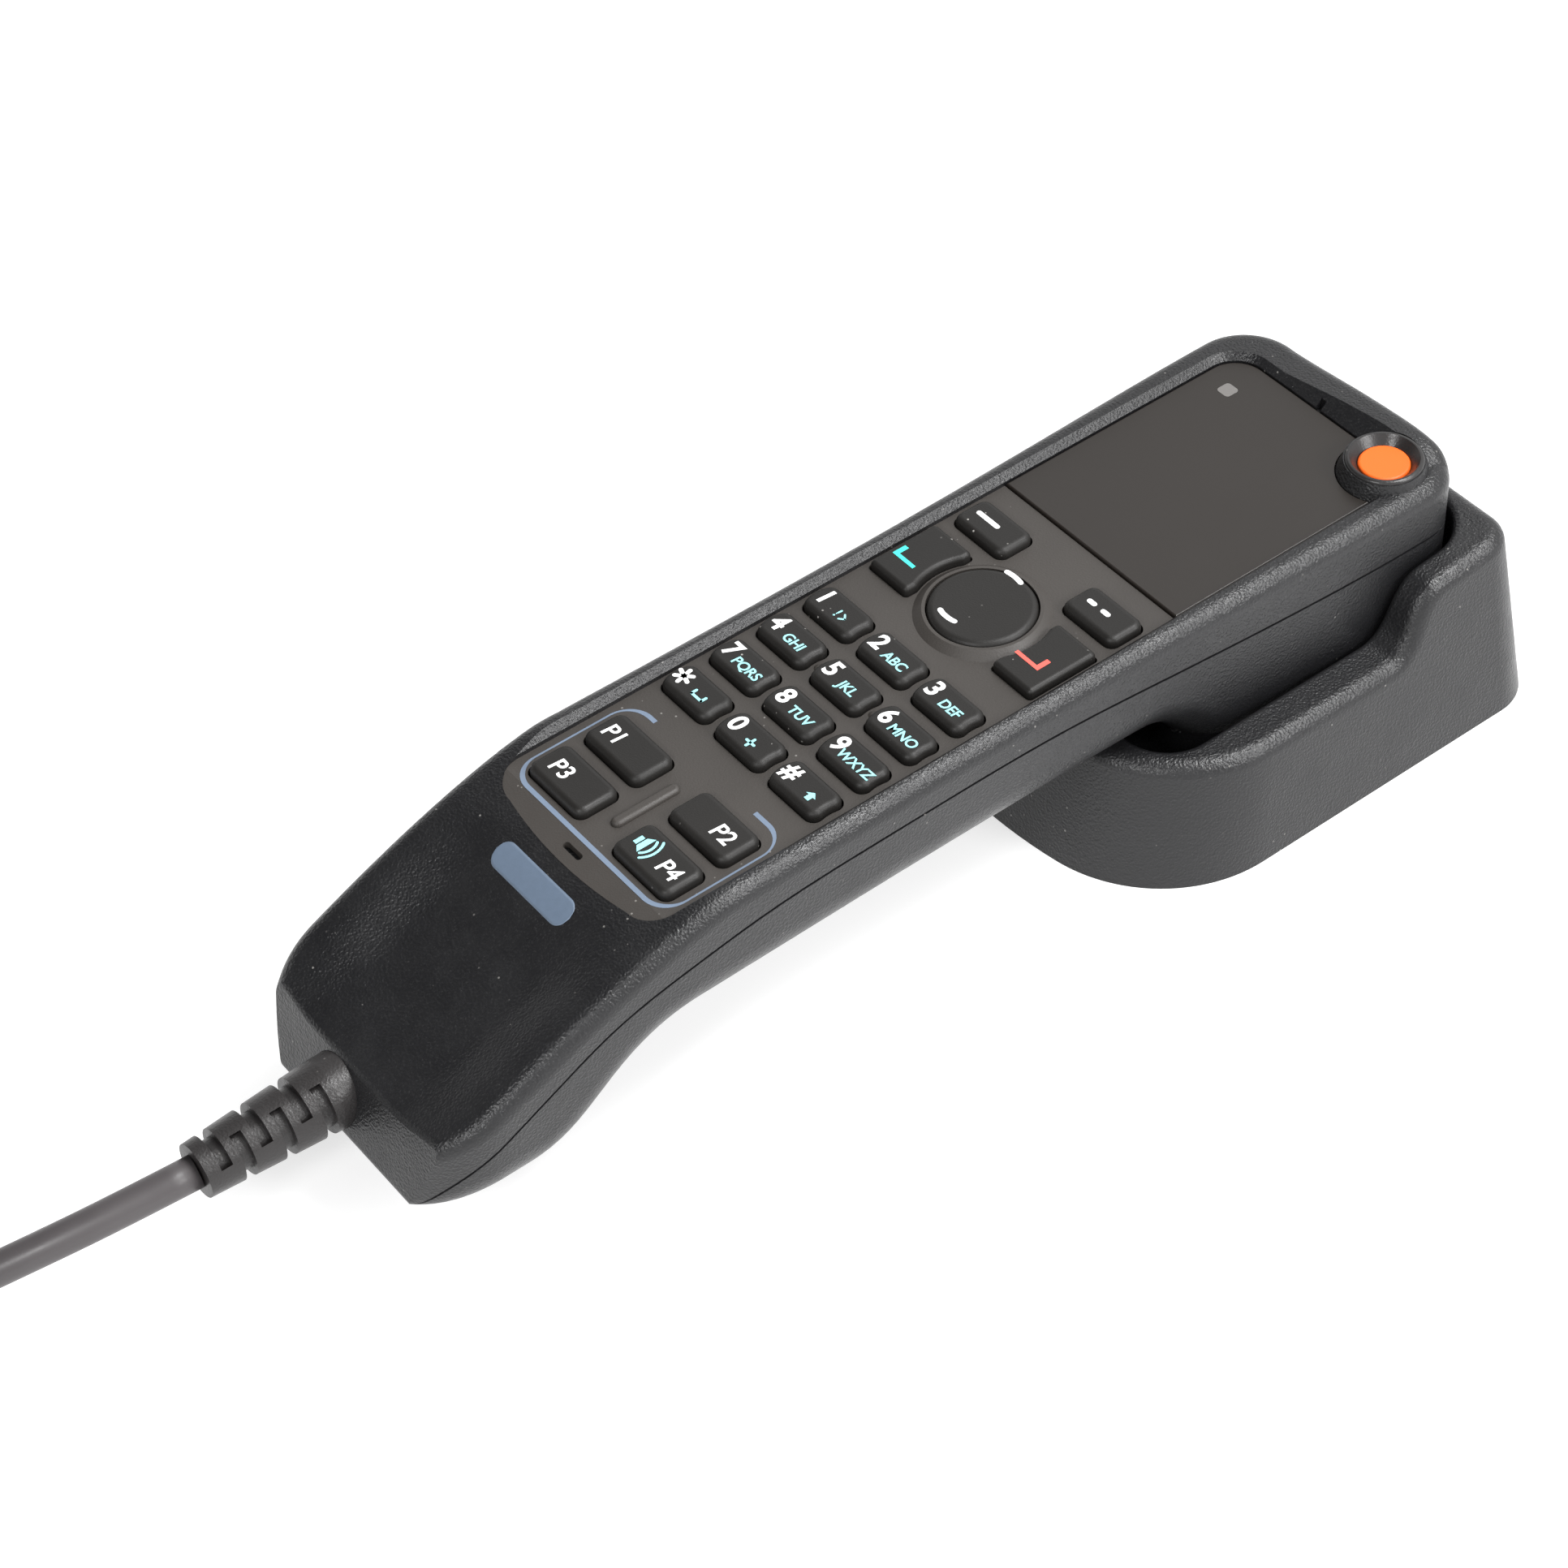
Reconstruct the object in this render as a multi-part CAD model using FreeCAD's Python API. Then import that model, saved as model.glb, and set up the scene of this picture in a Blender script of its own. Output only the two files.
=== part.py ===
import FreeCAD, Part
import math
import os

# Control handset (a hand microphone shaped like a telephone handset) in its desk cradle.
# Millimetres. The drawing frame has x along the handset, from the cord end to the display end,
# y across it, and z up from the tops of the keys. place() moves every piece to the hand-in frame,
# whose origin is the middle of the footprint on the table.

# Where things stand
TABLE_Z = -48.0
RELIEF_TIP_X = -133.5
CRADLE_FAR_X = 114.0
ORIGIN_X = (RELIEF_TIP_X + CRADLE_FAR_X) / 2

# Handset shell
WALL = 2.2
FAR_X = 103.0
TOP_Z = 0.3
SCOOP_START_X = -51.5
SCOOP_RATE = 0.0775
SCOOP_POWER = 1.40
DISH_DEPTH = 2.4
DISH_START_X = -66.0
DISH_FULL_X = -82.0
DISH_FLAT_Y = 11.0
DISH_EDGE_Y = 22.5
SURFACE_ROWS = 58
SURFACE_COLUMNS = 20
RIDGE_X = -106.0
RIDGE_Z = -21.5
END_FOOT_X = -110.4
END_FOOT_Z = -35.5
GRIP_Z = -21.6
EAR_Z = -34.0
EDGE_TOP_R = 3.0
EDGE_BOTTOM_R = 8.0
EDGE_RIDGE_R = 1.5
HALF_WIDTHS = [(92, 27.3), (60, 26.6), (25, 25.7), (-25, 25.6), (-62, 26.0), (-96, 26.2)]
END_CORNER_R = 16.0
FAR_CORNER_R = 11.0
ALARM_CORNER_R = 8.5
LIP = [(16.0, 0.0), (8.0, 0.6), (0.0, 1.4), (-8.0, 2.0), (-15.0, 2.2), (-20.0, 1.5), (-25.0, -1.6),
       (-28.0, -4.5)]
LIP_R = 2.6
SPLIT = [(110, -9.9), (75, -9.9), (40, -8.2), (15, -6.4), (-20, -6.2), (-45, -6.9), (-60, -8.9),
         (-75, -12.3), (-86, -17.4), (-95, -22.0), (-101, -25.4), (-106, -29.6), (-109.5, -34.5),
         (-112, -39.0)]
SEAM_GAP = 0.5
SEAM_DEPTH = 0.5

# Keypad panel and keys
PANEL_HALF = 21.5
PANEL_FAR_X = 42.0
PANEL_FLAT_X = -61.0
PANEL_END_X = -65.6
PANEL_Z = -1.7
PANEL_T = 1.7
KEY_Z = 0.0
KEY_GAP = 0.25
FLANGE_T = 0.8
FLANGE_WING = 0.5
COLUMN = 14.0
ROW = 9.6
ROW_1_X = 0.35
DIGIT = (6.8, 12.1)
DIGIT_SHIFT = 0.25
SOFT = (7.5, 12.6)
SOFT_AT = (33.0, 13.8)
PROG = (8.2, 14.4)
PROG_ROWS = (-44.1, -54.9)
PROG_Y = 11.2
NAV_AT_X = 19.2
NAV_R = 9.2
NAV_HOLE_R = 9.43
NAV_RING_R = 11.5
NAV_RING_TOP_R = 10.0
NAV_RING_H = 1.2
CALL_X = (11.9, 26.1)
CALL_Y = (10.9, 20.4)
CALL_CUT_R = 12.0
RIB_HALF = 1.1
RIB_H = 0.9
KEY_R = 1.8
KEY_TOP_R = 1.2
CALL_KEY_R = 0.8
CALL_TOP_R = 0.9
KEY_BOW = 1.1

# Stack under the panel
MAT_TOP = -5.2
MAT_T = 0.6
BOARD_TOP = -6.2
BOARD_T = 1.2

ROOF_T = 3.6
LEDGE_Z = -5.1
MAT_X = (-61.0, 38.5)
MAT_HALF = 21.5
NAV_FLANGE_Z = -3.9

# Display end
LCD_X = (45.5, 84.0)
LCD_HALF = 18.5
LCD_BOTTOM = -4.2
EAR_X = 78.0
MIC_AT = (-97.6, -9.2)
WINDOW_X = (42.0, 95.0)
WINDOW_HALF = 21.5
WINDOW_Z = -1.1
WINDOW_GAP = 0.2
RIM_FOOT_Z = -0.9
RIM_SLOPE_H = 4.0
WINDOW_T = 1.4
WINDOW_CORNER_R = 6.0
LED_AT = (86.8, 15.25)
LED_SIDE = 2.9
ALARM_AT = (92.3, -17.3)
ALARM_R = 4.46
COLLAR_R = 6.75
COLLAR_Z = 2.3
ALARM_Z = 1.1
BOSS_TOP = (6.95, 1.7)
BOSS_SLOPE = 0.375
BOSS_LOW_Z = -9.8

# Screws
SHELL_SCREWS = [(97.3, 9.5), (97.3, -9.5), (-72.0, 14.5), (-72.0, -14.5)]
POST_Z = -16.0
POST_COVER = 2.9
SEAT_Z = -20.0
SCREW_R = 1.25
HEAD_R = 2.5
BOARD_SCREWS = [(41.6, 17.0), (41.6, -17.0), (88.5, 6.0), (88.5, -6.0)]
BOARD_SCREW_R = 0.9
BOARD_SCREW_TOP = -3.5

# Cord and strain relief
RELIEF_Y = 4.0
RELIEF_Z = -28.7
RELIEF_R = 6.1
RELIEF_TIP_R = 4.7
SLOTS = 6
SLOT_X = -112.4
SLOT_PITCH = 3.55
SLOT_W = 2.0
SLOT_DEPTH = 1.3
SLOT_OVERLAP = 2.0
SLOT_TURN = 38.0
CORD_D = 5.6
COIL_AT = (-237.0, 5.0)
COIL_R = 31.85
COIL_TURNS_WIDE = 4.1
COIL_LAYERS = 2
TIE_T = 1.2
TIE_HALF = 4.0
PLUG_AT = (-289.5, -6.0)
LEAD_ROUTE = [(-133.5, 4.0, -28.7), (-147, 5.6, -29.6), (-161, 10.0, -33.2), (-177, 17.0, -39.4),
              (-192.5, 26.0, -44.2), (-208, 36.0, -45.2), (-222.7, 44.4, -45.2), (-238.5, 46.9, -45.2)]
TAIL_ROUTE = [(-240, 46.9, -39.8), (-254, 46.3, -40.6), (-268, 41.5, -43.0), (-279.5, 32.5, -44.6),
              (-287, 20.5, -44.9), (-289.5, 7.0, -44.9)]

# Cradle, heights above the table
BASE_T = 3.2
RIM_LOW = 23.0
RIM_SIDE = 34.5
RIM_FAR = 36.6
CUP_FLOOR = 12.6
CUP_HALF = 28.1
CUP_X = (34.0, 104.6)
CRADLE_NEAR_X = 19.5
BASE_HALF = 39.6
RIM_OUT_R = 3.0
RIM_IN_R = 1.2
CRADLE_SCREWS = [(44.0, 22.0), (44.0, -22.0), (98.0, 22.0), (98.0, -22.0)]
MAGNET_X = 60.0
MAGNET_Z = (6.0, 10.0)
MOUNT_HOLES = [(50.0, 15.0), (50.0, -15.0), (90.0, 15.0), (90.0, -15.0)]
MOUNT_R = 2.25

V = FreeCAD.Vector


def seg(a, b):
    return Part.makeLine(V(*a), V(*b))


def arc(a, m, b):
    return Part.Arc(V(*a), V(*m), V(*b)).toShape()


def corner(cx, cy, r, a0, a1, z=0.0):
    """Arc of radius r about (cx, cy) from angle a0 to a1, in degrees."""
    pts = []
    for a in (a0, (a0 + a1) / 2, a1):
        pts.append((cx + r * math.cos(math.radians(a)), cy + r * math.sin(math.radians(a)), z))
    return arc(*pts)


def spline(points, start, end):
    curve = Part.BSplineCurve()
    curve.interpolate([V(*p) for p in points], InitialTangent=V(*start), FinalTangent=V(*end))
    return curve.toShape()


def face(edges):
    return Part.Face(Part.Wire(Part.__sortEdges__(edges)))


def prism(flat, z0, z1):
    """Extrudes a flat face drawn at z = 0 from z0 up to z1."""
    solid = flat.extrude(V(0, 0, z1 - z0))
    solid.translate(V(0, 0, z0))
    return solid


def block(x0, x1, y0, y1, z0, z1):
    return Part.makeBox(x1 - x0, y1 - y0, z1 - z0, V(x0, y0, z0))


def rod(r, x, y, z0, z1):
    return Part.makeCylinder(r, z1 - z0, V(x, y, z0))


def rounded(x0, x1, y0, y1, r):
    """Rectangle face with four equal rounded corners."""
    return face([
        seg((x0 + r, y0, 0), (x1 - r, y0, 0)), corner(x1 - r, y0 + r, r, -90, 0),
        seg((x1, y0 + r, 0), (x1, y1 - r, 0)), corner(x1 - r, y1 - r, r, 0, 90),
        seg((x1 - r, y1, 0), (x0 + r, y1, 0)), corner(x0 + r, y1 - r, r, 90, 180),
        seg((x0, y1 - r, 0), (x0, y0 + r, 0)), corner(x0 + r, y0 + r, r, 180, 270)])


def round_edges(solid, pick):
    """Fillets the edges for which pick(edge, normals) gives a radius pair."""
    edges = []
    for i, e in enumerate(solid.Edges):
        sides = solid.ancestorsOfType(e, Part.Face)
        if len(sides) != 2:
            continue
        middle = e.valueAt((e.FirstParameter + e.LastParameter) / 2)
        normals = []
        for f in sides:
            normals.append(f.normalAt(*f.Surface.parameter(middle)))
        normals.sort(key=lambda n: abs(n.z))
        radii = pick(e, normals)
        if radii:
            edges.append((i + 1, radii[0], radii[1]))
    doc = FreeCAD.newDocument()
    base = doc.addObject("Part::Feature", "base")
    base.Shape = solid
    rounder = doc.addObject("Part::Fillet", "rounder")
    rounder.Base = base
    rounder.Edges = edges
    doc.recompute()
    result = rounder.Shape.copy()
    FreeCAD.closeDocument(doc.Name)
    if result.isNull() or not result.isValid() or not edges:
        raise RuntimeError("fillet failed")
    return result


# ---------------------------------------------------------------- handset outer form

def plan_face(inset=0.0):
    """Outline of the handset from above, drawn in by inset."""
    r = END_CORNER_R
    end_x, end_y = HALF_WIDTHS[-1]
    far_x, far_y = HALF_WIDTHS[0]
    left = [(x, y - inset, 0) for x, y in HALF_WIDTHS]
    right = [(x, -y, 0) for x, y, z in reversed(left)]
    cy = end_y - r
    ry = far_y - ALARM_CORNER_R
    ly = far_y - FAR_CORNER_R
    rx = FAR_X - ALARM_CORNER_R
    return face([
        spline(left, (-1, 0, 0), (-1, 0, 0)), corner(end_x, cy, r - inset, 90, 180),
        seg((end_x - r + inset, cy, 0), (end_x - r + inset, -cy, 0)),
        corner(end_x, -cy, r - inset, 180, 270), spline(right, (1, 0, 0), (1, 0, 0)),
        seg((far_x, inset - far_y, 0), (rx, inset - far_y, 0)),
        corner(rx, -ry, ALARM_CORNER_R - inset, -90, 0),
        seg((FAR_X - inset, -ry, 0), (FAR_X - inset, ly, 0)),
        corner(far_x, ly, FAR_CORNER_R - inset, 0, 90)])


def side_face(inset=0.0):
    """Outline of the handset from the side, without its top: the top surface trims it."""
    t = inset
    x0, z0 = END_FOOT_X + t * 1.05, END_FOOT_Z + t
    top = TOP_Z + 5.0
    slope = (END_FOOT_X - RIDGE_X) / (END_FOOT_Z - RIDGE_Z)
    x_top = x0 + slope * (top - z0)
    grip, ear = GRIP_Z + t, EAR_Z + t
    edges = [
        seg((120, 0, top), (x_top, 0, top)), seg((x_top, 0, top), (x0, 0, z0)),
        seg((x0, 0, z0), (-92, 0, z0)),
        spline([(-92, 0, z0), (-76, 0, -29.0 + t), (-58, 0, grip)], (1, 0, 0), (1, 0, 0)),
        seg((-58, 0, grip), (32, 0, grip)),
        spline([(32, 0, grip), (43, 0, -28 + t), (54, 0, ear)], (1, 0, 0), (1, 0, 0)),
        seg((54, 0, ear), (120, 0, ear)), seg((120, 0, ear), (120, 0, top))]
    solid = face(edges).extrude(V(0, 80, 0))
    solid.translate(V(0, -40, 0))
    return solid


def smooth(t):
    t = min(1.0, max(0.0, t))
    return t * t * (3 - 2 * t)


def top_height(x, y):
    """The top surface: flat over the keys, scooped down and dished towards the cord end."""
    drop = SCOOP_RATE * max(0.0, SCOOP_START_X - x) ** SCOOP_POWER
    along = smooth((DISH_START_X - x) / (DISH_START_X - DISH_FULL_X))
    fade = 1 - 0.45 * smooth((-90 - x) / 16)
    across = 1 - smooth((abs(y) - DISH_FLAT_Y) / (DISH_EDGE_Y - DISH_FLAT_Y))
    return TOP_Z - drop - DISH_DEPTH * along * fade * across


def below_top(inset=0.0):
    """Solid under the top surface, lowered by inset."""
    grid = []
    for i in range(SURFACE_ROWS + 1):
        x = -116 + 232 * i / SURFACE_ROWS
        ys = [31 * (2 * j / SURFACE_COLUMNS - 1) for j in range(SURFACE_COLUMNS + 1)]
        grid.append([V(x, y, top_height(x, y) - inset) for y in ys])
    surface = Part.BSplineSurface()
    surface.interpolate(grid)
    solid = surface.toShape().extrude(V(0, 0, -70))
    return solid


def pick_bottom_edges(edge, normals):
    flat, steep = normals
    if steep.z > -0.5:
        return None
    if abs(flat.z) > 0.02:
        return (EDGE_RIDGE_R, EDGE_RIDGE_R) if flat.z > 0.1 else None
    radii = []
    for p in (edge.FirstParameter, edge.LastParameter):
        radii.append(EDGE_BOTTOM_R if edge.valueAt(p).x > HALF_WIDTHS[-1][0] - 0.5 else EDGE_RIDGE_R)
    return radii


def pick_top_edges(edge, normals):
    flat, steep = normals
    if steep.z < 0.5 or abs(flat.z) > 0.45:
        return None
    radius = EDGE_TOP_R if abs(flat.z) < 0.02 else EDGE_RIDGE_R
    return radius, radius


def outer_body():
    plan = prism(plan_face(), -50, 10)
    lower = round_edges(plan.common(side_face()).Solids[0], pick_bottom_edges)
    return round_edges(lower.common(below_top()).Solids[0], pick_top_edges)


def end_lip():
    """Lip across the display end, which rises from the left corner to the emergency button."""
    low = TOP_Z - 3.5
    x = FAR_X - 13
    curve = Part.BSplineCurve()
    curve.interpolate([V(x, y, z) for y, z in LIP])
    first, last = (x, *LIP[0]), (x, *LIP[-1])
    foot = [(x, last[1], low - 2), (x, first[1], low - 2)]
    edges = [curve.toShape(), seg(last, foot[0]), seg(*foot), seg(foot[1], first)]
    lip = face(edges).extrude(V(20, 0, 0)).common(prism(plan_face(), low, 10))
    outer = []
    for e in lip.Edges:
        middle = e.valueAt((e.FirstParameter + e.LastParameter) / 2)
        at_wall = middle.x > FAR_X - 0.01 or middle.x > FAR_X - ALARM_CORNER_R and middle.y < -20
        if at_wall and middle.z > low + 0.2 and e.BoundBox.YLength > 0.5:
            outer.append(e)
    return lip.makeFillet(LIP_R, outer)


def alarm_boss():
    """Flared boss at the corner, which carries the collar of the emergency button."""
    x, y = ALARM_AT
    top_r, top_z = BOSS_TOP
    low_r = top_r + BOSS_SLOPE * (top_z - BOSS_LOW_Z)
    cone = Part.makeCone(low_r, top_r, top_z - BOSS_LOW_Z, V(x, y, BOSS_LOW_Z))
    cone = cone.common(prism(plan_face(), -10, 10)).cut(prism(window_face(), -20, WINDOW_Z))
    foot = rod(boss_foot(), x, y, WINDOW_Z - WINDOW_T, WINDOW_Z)
    return cone.fuse(foot.common(prism(window_face(), -20, 10)))


def boss_foot():
    """Radius of the boss at the height of the window."""
    return BOSS_TOP[0] + BOSS_SLOPE * (BOSS_TOP[1] - WINDOW_Z)


def rim_slope():
    """The space inside the sloped inner edge of the shell's rim, round the panel and the window."""
    top = RIM_FOOT_Z + RIM_SLOPE_H
    wires = []
    for grow, z in ((0.0, RIM_FOOT_Z), (RIM_SLOPE_H, top)):
        wire = window_face(grow).OuterWire
        wire.translate(V(0, 0, z))
        wires.append(wire)
    half = PANEL_HALF
    wide = half + RIM_SLOPE_H
    start = PANEL_FLAT_X
    section = [(start, -half, RIM_FOOT_Z), (start, half, RIM_FOOT_Z), (start, wide, top), (start, -wide, top)]
    sides = face([seg(a, b) for a, b in zip(section, section[1:] + section[:1])])
    return Part.makeLoft(wires, True, True), sides.extrude(V(WINDOW_X[0] + 10 - start, 0, 0))


def above_split(shift=0.0):
    """Everything above the line where the two shells meet."""
    line = [(x, 0, z + shift) for x, z in reversed(SPLIT)]
    curve = Part.BSplineCurve()
    curve.interpolate([V(*p) for p in line])
    a, b = line[0], line[-1]
    solid = face([curve.toShape(), seg(b, (b[0] + 5, 0, 40)), seg((b[0] + 5, 0, 40), (a[0] - 5, 0, 40)),
                  seg((a[0] - 5, 0, 40), a)]).extrude(V(0, 90, 0))
    solid.translate(V(0, -45, 0))
    return solid


def hollow():
    """The space inside the shells: narrower near the bottom, where the outer edge is rounded."""
    wide = prism(plan_face(WALL), -50, 10).common(side_face(WALL + 6.5))
    narrow = prism(plan_face(WALL + 5.5), -50, 10).common(side_face(WALL))
    space = wide.fuse(narrow).common(below_top(ROOF_T))
    return space.cut(block(MAT_X[0], 120, -50, 50, LEDGE_Z, 20))


def seam_groove():
    """A thin strip of the rear shell's outside, just under the seam."""
    strip = above_split(-SEAM_GAP).cut(above_split())
    return strip.cut(prism(plan_face(SEAM_DEPTH), -50, 10))


# ---------------------------------------------------------------- keypad outlines

def panel_face():
    end_y = PANEL_HALF - 6.0
    return face([
        seg((PANEL_FAR_X, PANEL_HALF, 0), (PANEL_END_X + 7.4, PANEL_HALF, 0)),
        corner(PANEL_END_X + 7.4, end_y, 6.0, 90, 180),
        arc((PANEL_END_X + 1.4, end_y, 0), (PANEL_END_X, 0, 0), (PANEL_END_X + 1.4, -end_y, 0)),
        corner(PANEL_END_X + 7.4, -end_y, 6.0, 180, 270),
        seg((PANEL_END_X + 7.4, -PANEL_HALF, 0), (PANEL_FAR_X, -PANEL_HALF, 0)),
        seg((PANEL_FAR_X, -PANEL_HALF, 0), (PANEL_FAR_X, PANEL_HALF, 0))])


def bowed(x, y, length, width, grow=0.0):
    """Digit key outline: one end bulges out and the other is hollow, so that a row nests."""
    x0, x1 = x - length / 2 - grow, x + length / 2 + grow
    left, right = y + width / 2 + grow, y - width / 2 - grow
    b = KEY_BOW / 2
    return face([
        seg((x0, right - b, 0), (x0, left - b, 0)),
        arc((x0, left - b, 0), (x, left + b, 0), (x1, left - b, 0)),
        seg((x1, left - b, 0), (x1, right - b, 0)),
        arc((x1, right - b, 0), (x, right + b, 0), (x0, right - b, 0))])


def square(x, y, length, width, grow=0.0):
    half_x, half_y = length / 2 + grow, width / 2 + grow
    return Part.makePlane(2 * half_x, 2 * half_y, V(x - half_x, y - half_y, 0))


def call_outline(side, grow=0.0):
    """Call and end keys: blocks hollowed around the round key."""
    y0, y1 = sorted((side * (CALL_Y[0] - grow), side * (CALL_Y[1] + grow)))
    plate = Part.makePlane(CALL_X[1] - CALL_X[0] + 2 * grow, y1 - y0, V(CALL_X[0] - grow, y0, 0))
    disc = Part.Face(Part.Wire(Part.makeCircle(CALL_CUT_R - grow, V(NAV_AT_X, 0, 0))))
    return plate.cut(disc).Faces[0]


def key_table():
    """Name, outline function and corner radius of every key that slides."""
    keys = []
    names = ["key_1", "key_2", "key_3", "key_4", "key_5", "key_6", "key_7", "key_8", "key_9",
             "key_star", "key_0", "key_hash"]
    for i, name in enumerate(names):
        x = ROW_1_X - ROW * (i // 3)
        y = COLUMN * (1 - i % 3)
        keys.append((name, lambda grow, x=x, y=y: bowed(x + DIGIT_SHIFT, y, DIGIT[0], DIGIT[1], grow)))
    for i in range(4):
        x = PROG_ROWS[i // 2]
        y = PROG_Y * (1 - 2 * (i % 2))
        keys.append((f"key_p{i + 1}", lambda grow, x=x, y=y: square(x, y, PROG[0], PROG[1], grow)))
    for name, side in (("softkey_left", 1), ("softkey_right", -1)):
        y = side * SOFT_AT[1]
        keys.append((name, lambda grow, y=y: square(SOFT_AT[0], y, SOFT[0], SOFT[1], grow)))
    for name, side in (("call_key", 1), ("end_key", -1)):
        keys.append((name, lambda grow, side=side: call_outline(side, grow)))
    return keys


def stretched(flat, wing):
    """A key's flange outline: the cap's, a wing longer at both ends along x, and narrower across."""
    box = flat.BoundBox
    grow_x = (box.XLength + 2 * wing) / box.XLength
    shrink_y = (box.YLength - 1.0) / box.YLength
    m = FreeCAD.Matrix()
    m.A11, m.A22 = grow_x, shrink_y
    m.A14 = box.Center.x * (1 - grow_x)
    m.A24 = box.Center.y * (1 - shrink_y)
    return flat.transformGeometry(m)


def key_solid(outline):
    flange_top = PANEL_Z - PANEL_T - 0.1
    cap = prism(outline(0.0), flange_top - 0.1, KEY_Z)
    upright = [e for e in cap.Edges if abs(e.tangentAt(e.FirstParameter).z) > 0.99]
    simple = len(upright) == 4
    cap = cap.makeFillet(KEY_R if simple else CALL_KEY_R, upright)
    rim = [e for e in cap.Edges if abs(e.BoundBox.ZMin - KEY_Z) < 1e-4]
    cap = cap.makeFillet(KEY_TOP_R if simple else CALL_TOP_R, rim)
    flange = prism(stretched(outline(-0.2), FLANGE_WING + 0.2), flange_top - FLANGE_T, flange_top)
    return cap.fuse(flange).removeSplitter()


def nav_key():
    """Round rocker key. Its flange sits lower than the others', so that it can tilt."""
    cap = rod(NAV_R, NAV_AT_X, 0, -4.1, KEY_Z)
    cap = cap.makeFillet(KEY_TOP_R, [e for e in cap.Edges if abs(e.BoundBox.ZMin - KEY_Z) < 1e-4])
    return cap.fuse(rod(NAV_R + 1.0, NAV_AT_X, 0, NAV_FLANGE_Z - 0.7, NAV_FLANGE_Z)).removeSplitter()


# ---------------------------------------------------------------- handset pieces

def keypad_panel(keys):
    """Recessed plate around the keys, with a raised ring, a rib and a ramp at the cord end."""
    z0, z1 = PANEL_Z - PANEL_T, PANEL_Z
    side = [(PANEL_FAR_X, z0), (PANEL_FAR_X, z1), (PANEL_FLAT_X, z1), (PANEL_END_X - 1, z1 - 1.25),
            (PANEL_END_X - 1, z0)]
    edges = [seg((a[0], -40, a[1]), (b[0], -40, b[1])) for a, b in zip(side, side[1:] + side[:1])]
    slab = face(edges).extrude(V(0, 80, 0)).common(prism(panel_face(), z0, z1))
    ring = rod(NAV_RING_R, NAV_AT_X, 0, z1 - 0.5, z1)
    ring = ring.fuse(Part.makeCone(NAV_RING_R, NAV_RING_TOP_R, NAV_RING_H, V(NAV_AT_X, 0, z1)))
    rib = prism(rounded(-55.5, -42.6, -RIB_HALF, RIB_HALF, RIB_HALF - 0.05), z1 - 0.5, z1 + RIB_H)
    rib = rib.makeFillet(RIB_H - 0.15, [e for e in rib.Edges if abs(e.BoundBox.ZMin - z1 - RIB_H) < 1e-4])
    panel = slab.fuse(ring).fuse(rib)
    for y in (COLUMN / 2, -COLUMN / 2):
        panel = panel.fuse(Part.makeSphere(1.0, V(ROW_1_X - ROW, y, z1 - 0.55)))
    panel = panel.cut(rod(NAV_HOLE_R, NAV_AT_X, 0, z0 - 1, 10))
    for name, outline in keys:
        hole = prism(outline(KEY_GAP), z0 - 1, 10)
        upright = [e for e in hole.Edges if abs(e.tangentAt(e.FirstParameter).z) > 0.99]
        panel = panel.cut(hole.makeFillet(KEY_R if len(upright) == 4 else CALL_KEY_R, upright))
    slot = prism(rounded(-63.7, -62.5, -2.2, 2.2, 0.59), z0 - 1, 10)
    return panel.cut(slot).removeSplitter()


def window_face(grow=0.0):
    x0, x1 = WINDOW_X[0] - grow, WINDOW_X[1] + grow
    h, r = WINDOW_HALF + grow, WINDOW_CORNER_R + grow
    return face([
        seg((x0, -h, 0), (x1 - r, -h, 0)), corner(x1 - r, -h + r, r, -90, 0),
        seg((x1, -h + r, 0), (x1, h - r, 0)), corner(x1 - r, h - r, r, 0, 90),
        seg((x1 - r, h, 0), (x0, h, 0)), seg((x0, h, 0), (x0, -h, 0))])


def led_block(grow, z0, z1):
    x, y = LED_AT
    half = LED_SIDE / 2 + grow
    return prism(rounded(x - half, x + half, y - half, y + half, 0.7 + grow), z0, z1)


def display_window():
    pane = prism(window_face(-WINDOW_GAP), WINDOW_Z - WINDOW_T, WINDOW_Z)
    rim = [e for e in pane.Edges if abs(e.BoundBox.ZMin - WINDOW_Z) < 1e-4]
    pane = pane.makeFillet(0.3, rim)
    pane = pane.cut(rod(boss_foot() + WINDOW_GAP, ALARM_AT[0], ALARM_AT[1], -5, 5))
    return pane.cut(led_block(0.05, -5, 5))


def relief_bore():
    """The round hole in the end wall, half in each shell, that the strain relief comes out of."""
    return Part.makeCylinder(RELIEF_R + 0.05, 30, V(-125, RELIEF_Y, RELIEF_Z), V(1, 0, 0))


def display():
    """Display module under the window, and the open frame that holds it off the board."""
    x0, x1 = LCD_X
    h = LCD_HALF
    module = block(x0, x1, -h, h, LCD_BOTTOM, WINDOW_Z - WINDOW_T - 0.1)
    frame = block(x0, x1, -h, h, BOARD_TOP + 0.02, LCD_BOTTOM - 0.02)
    return module, frame.cut(block(x0 + 2, x1 - 2, 2 - h, h - 2, -10, 0))


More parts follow.
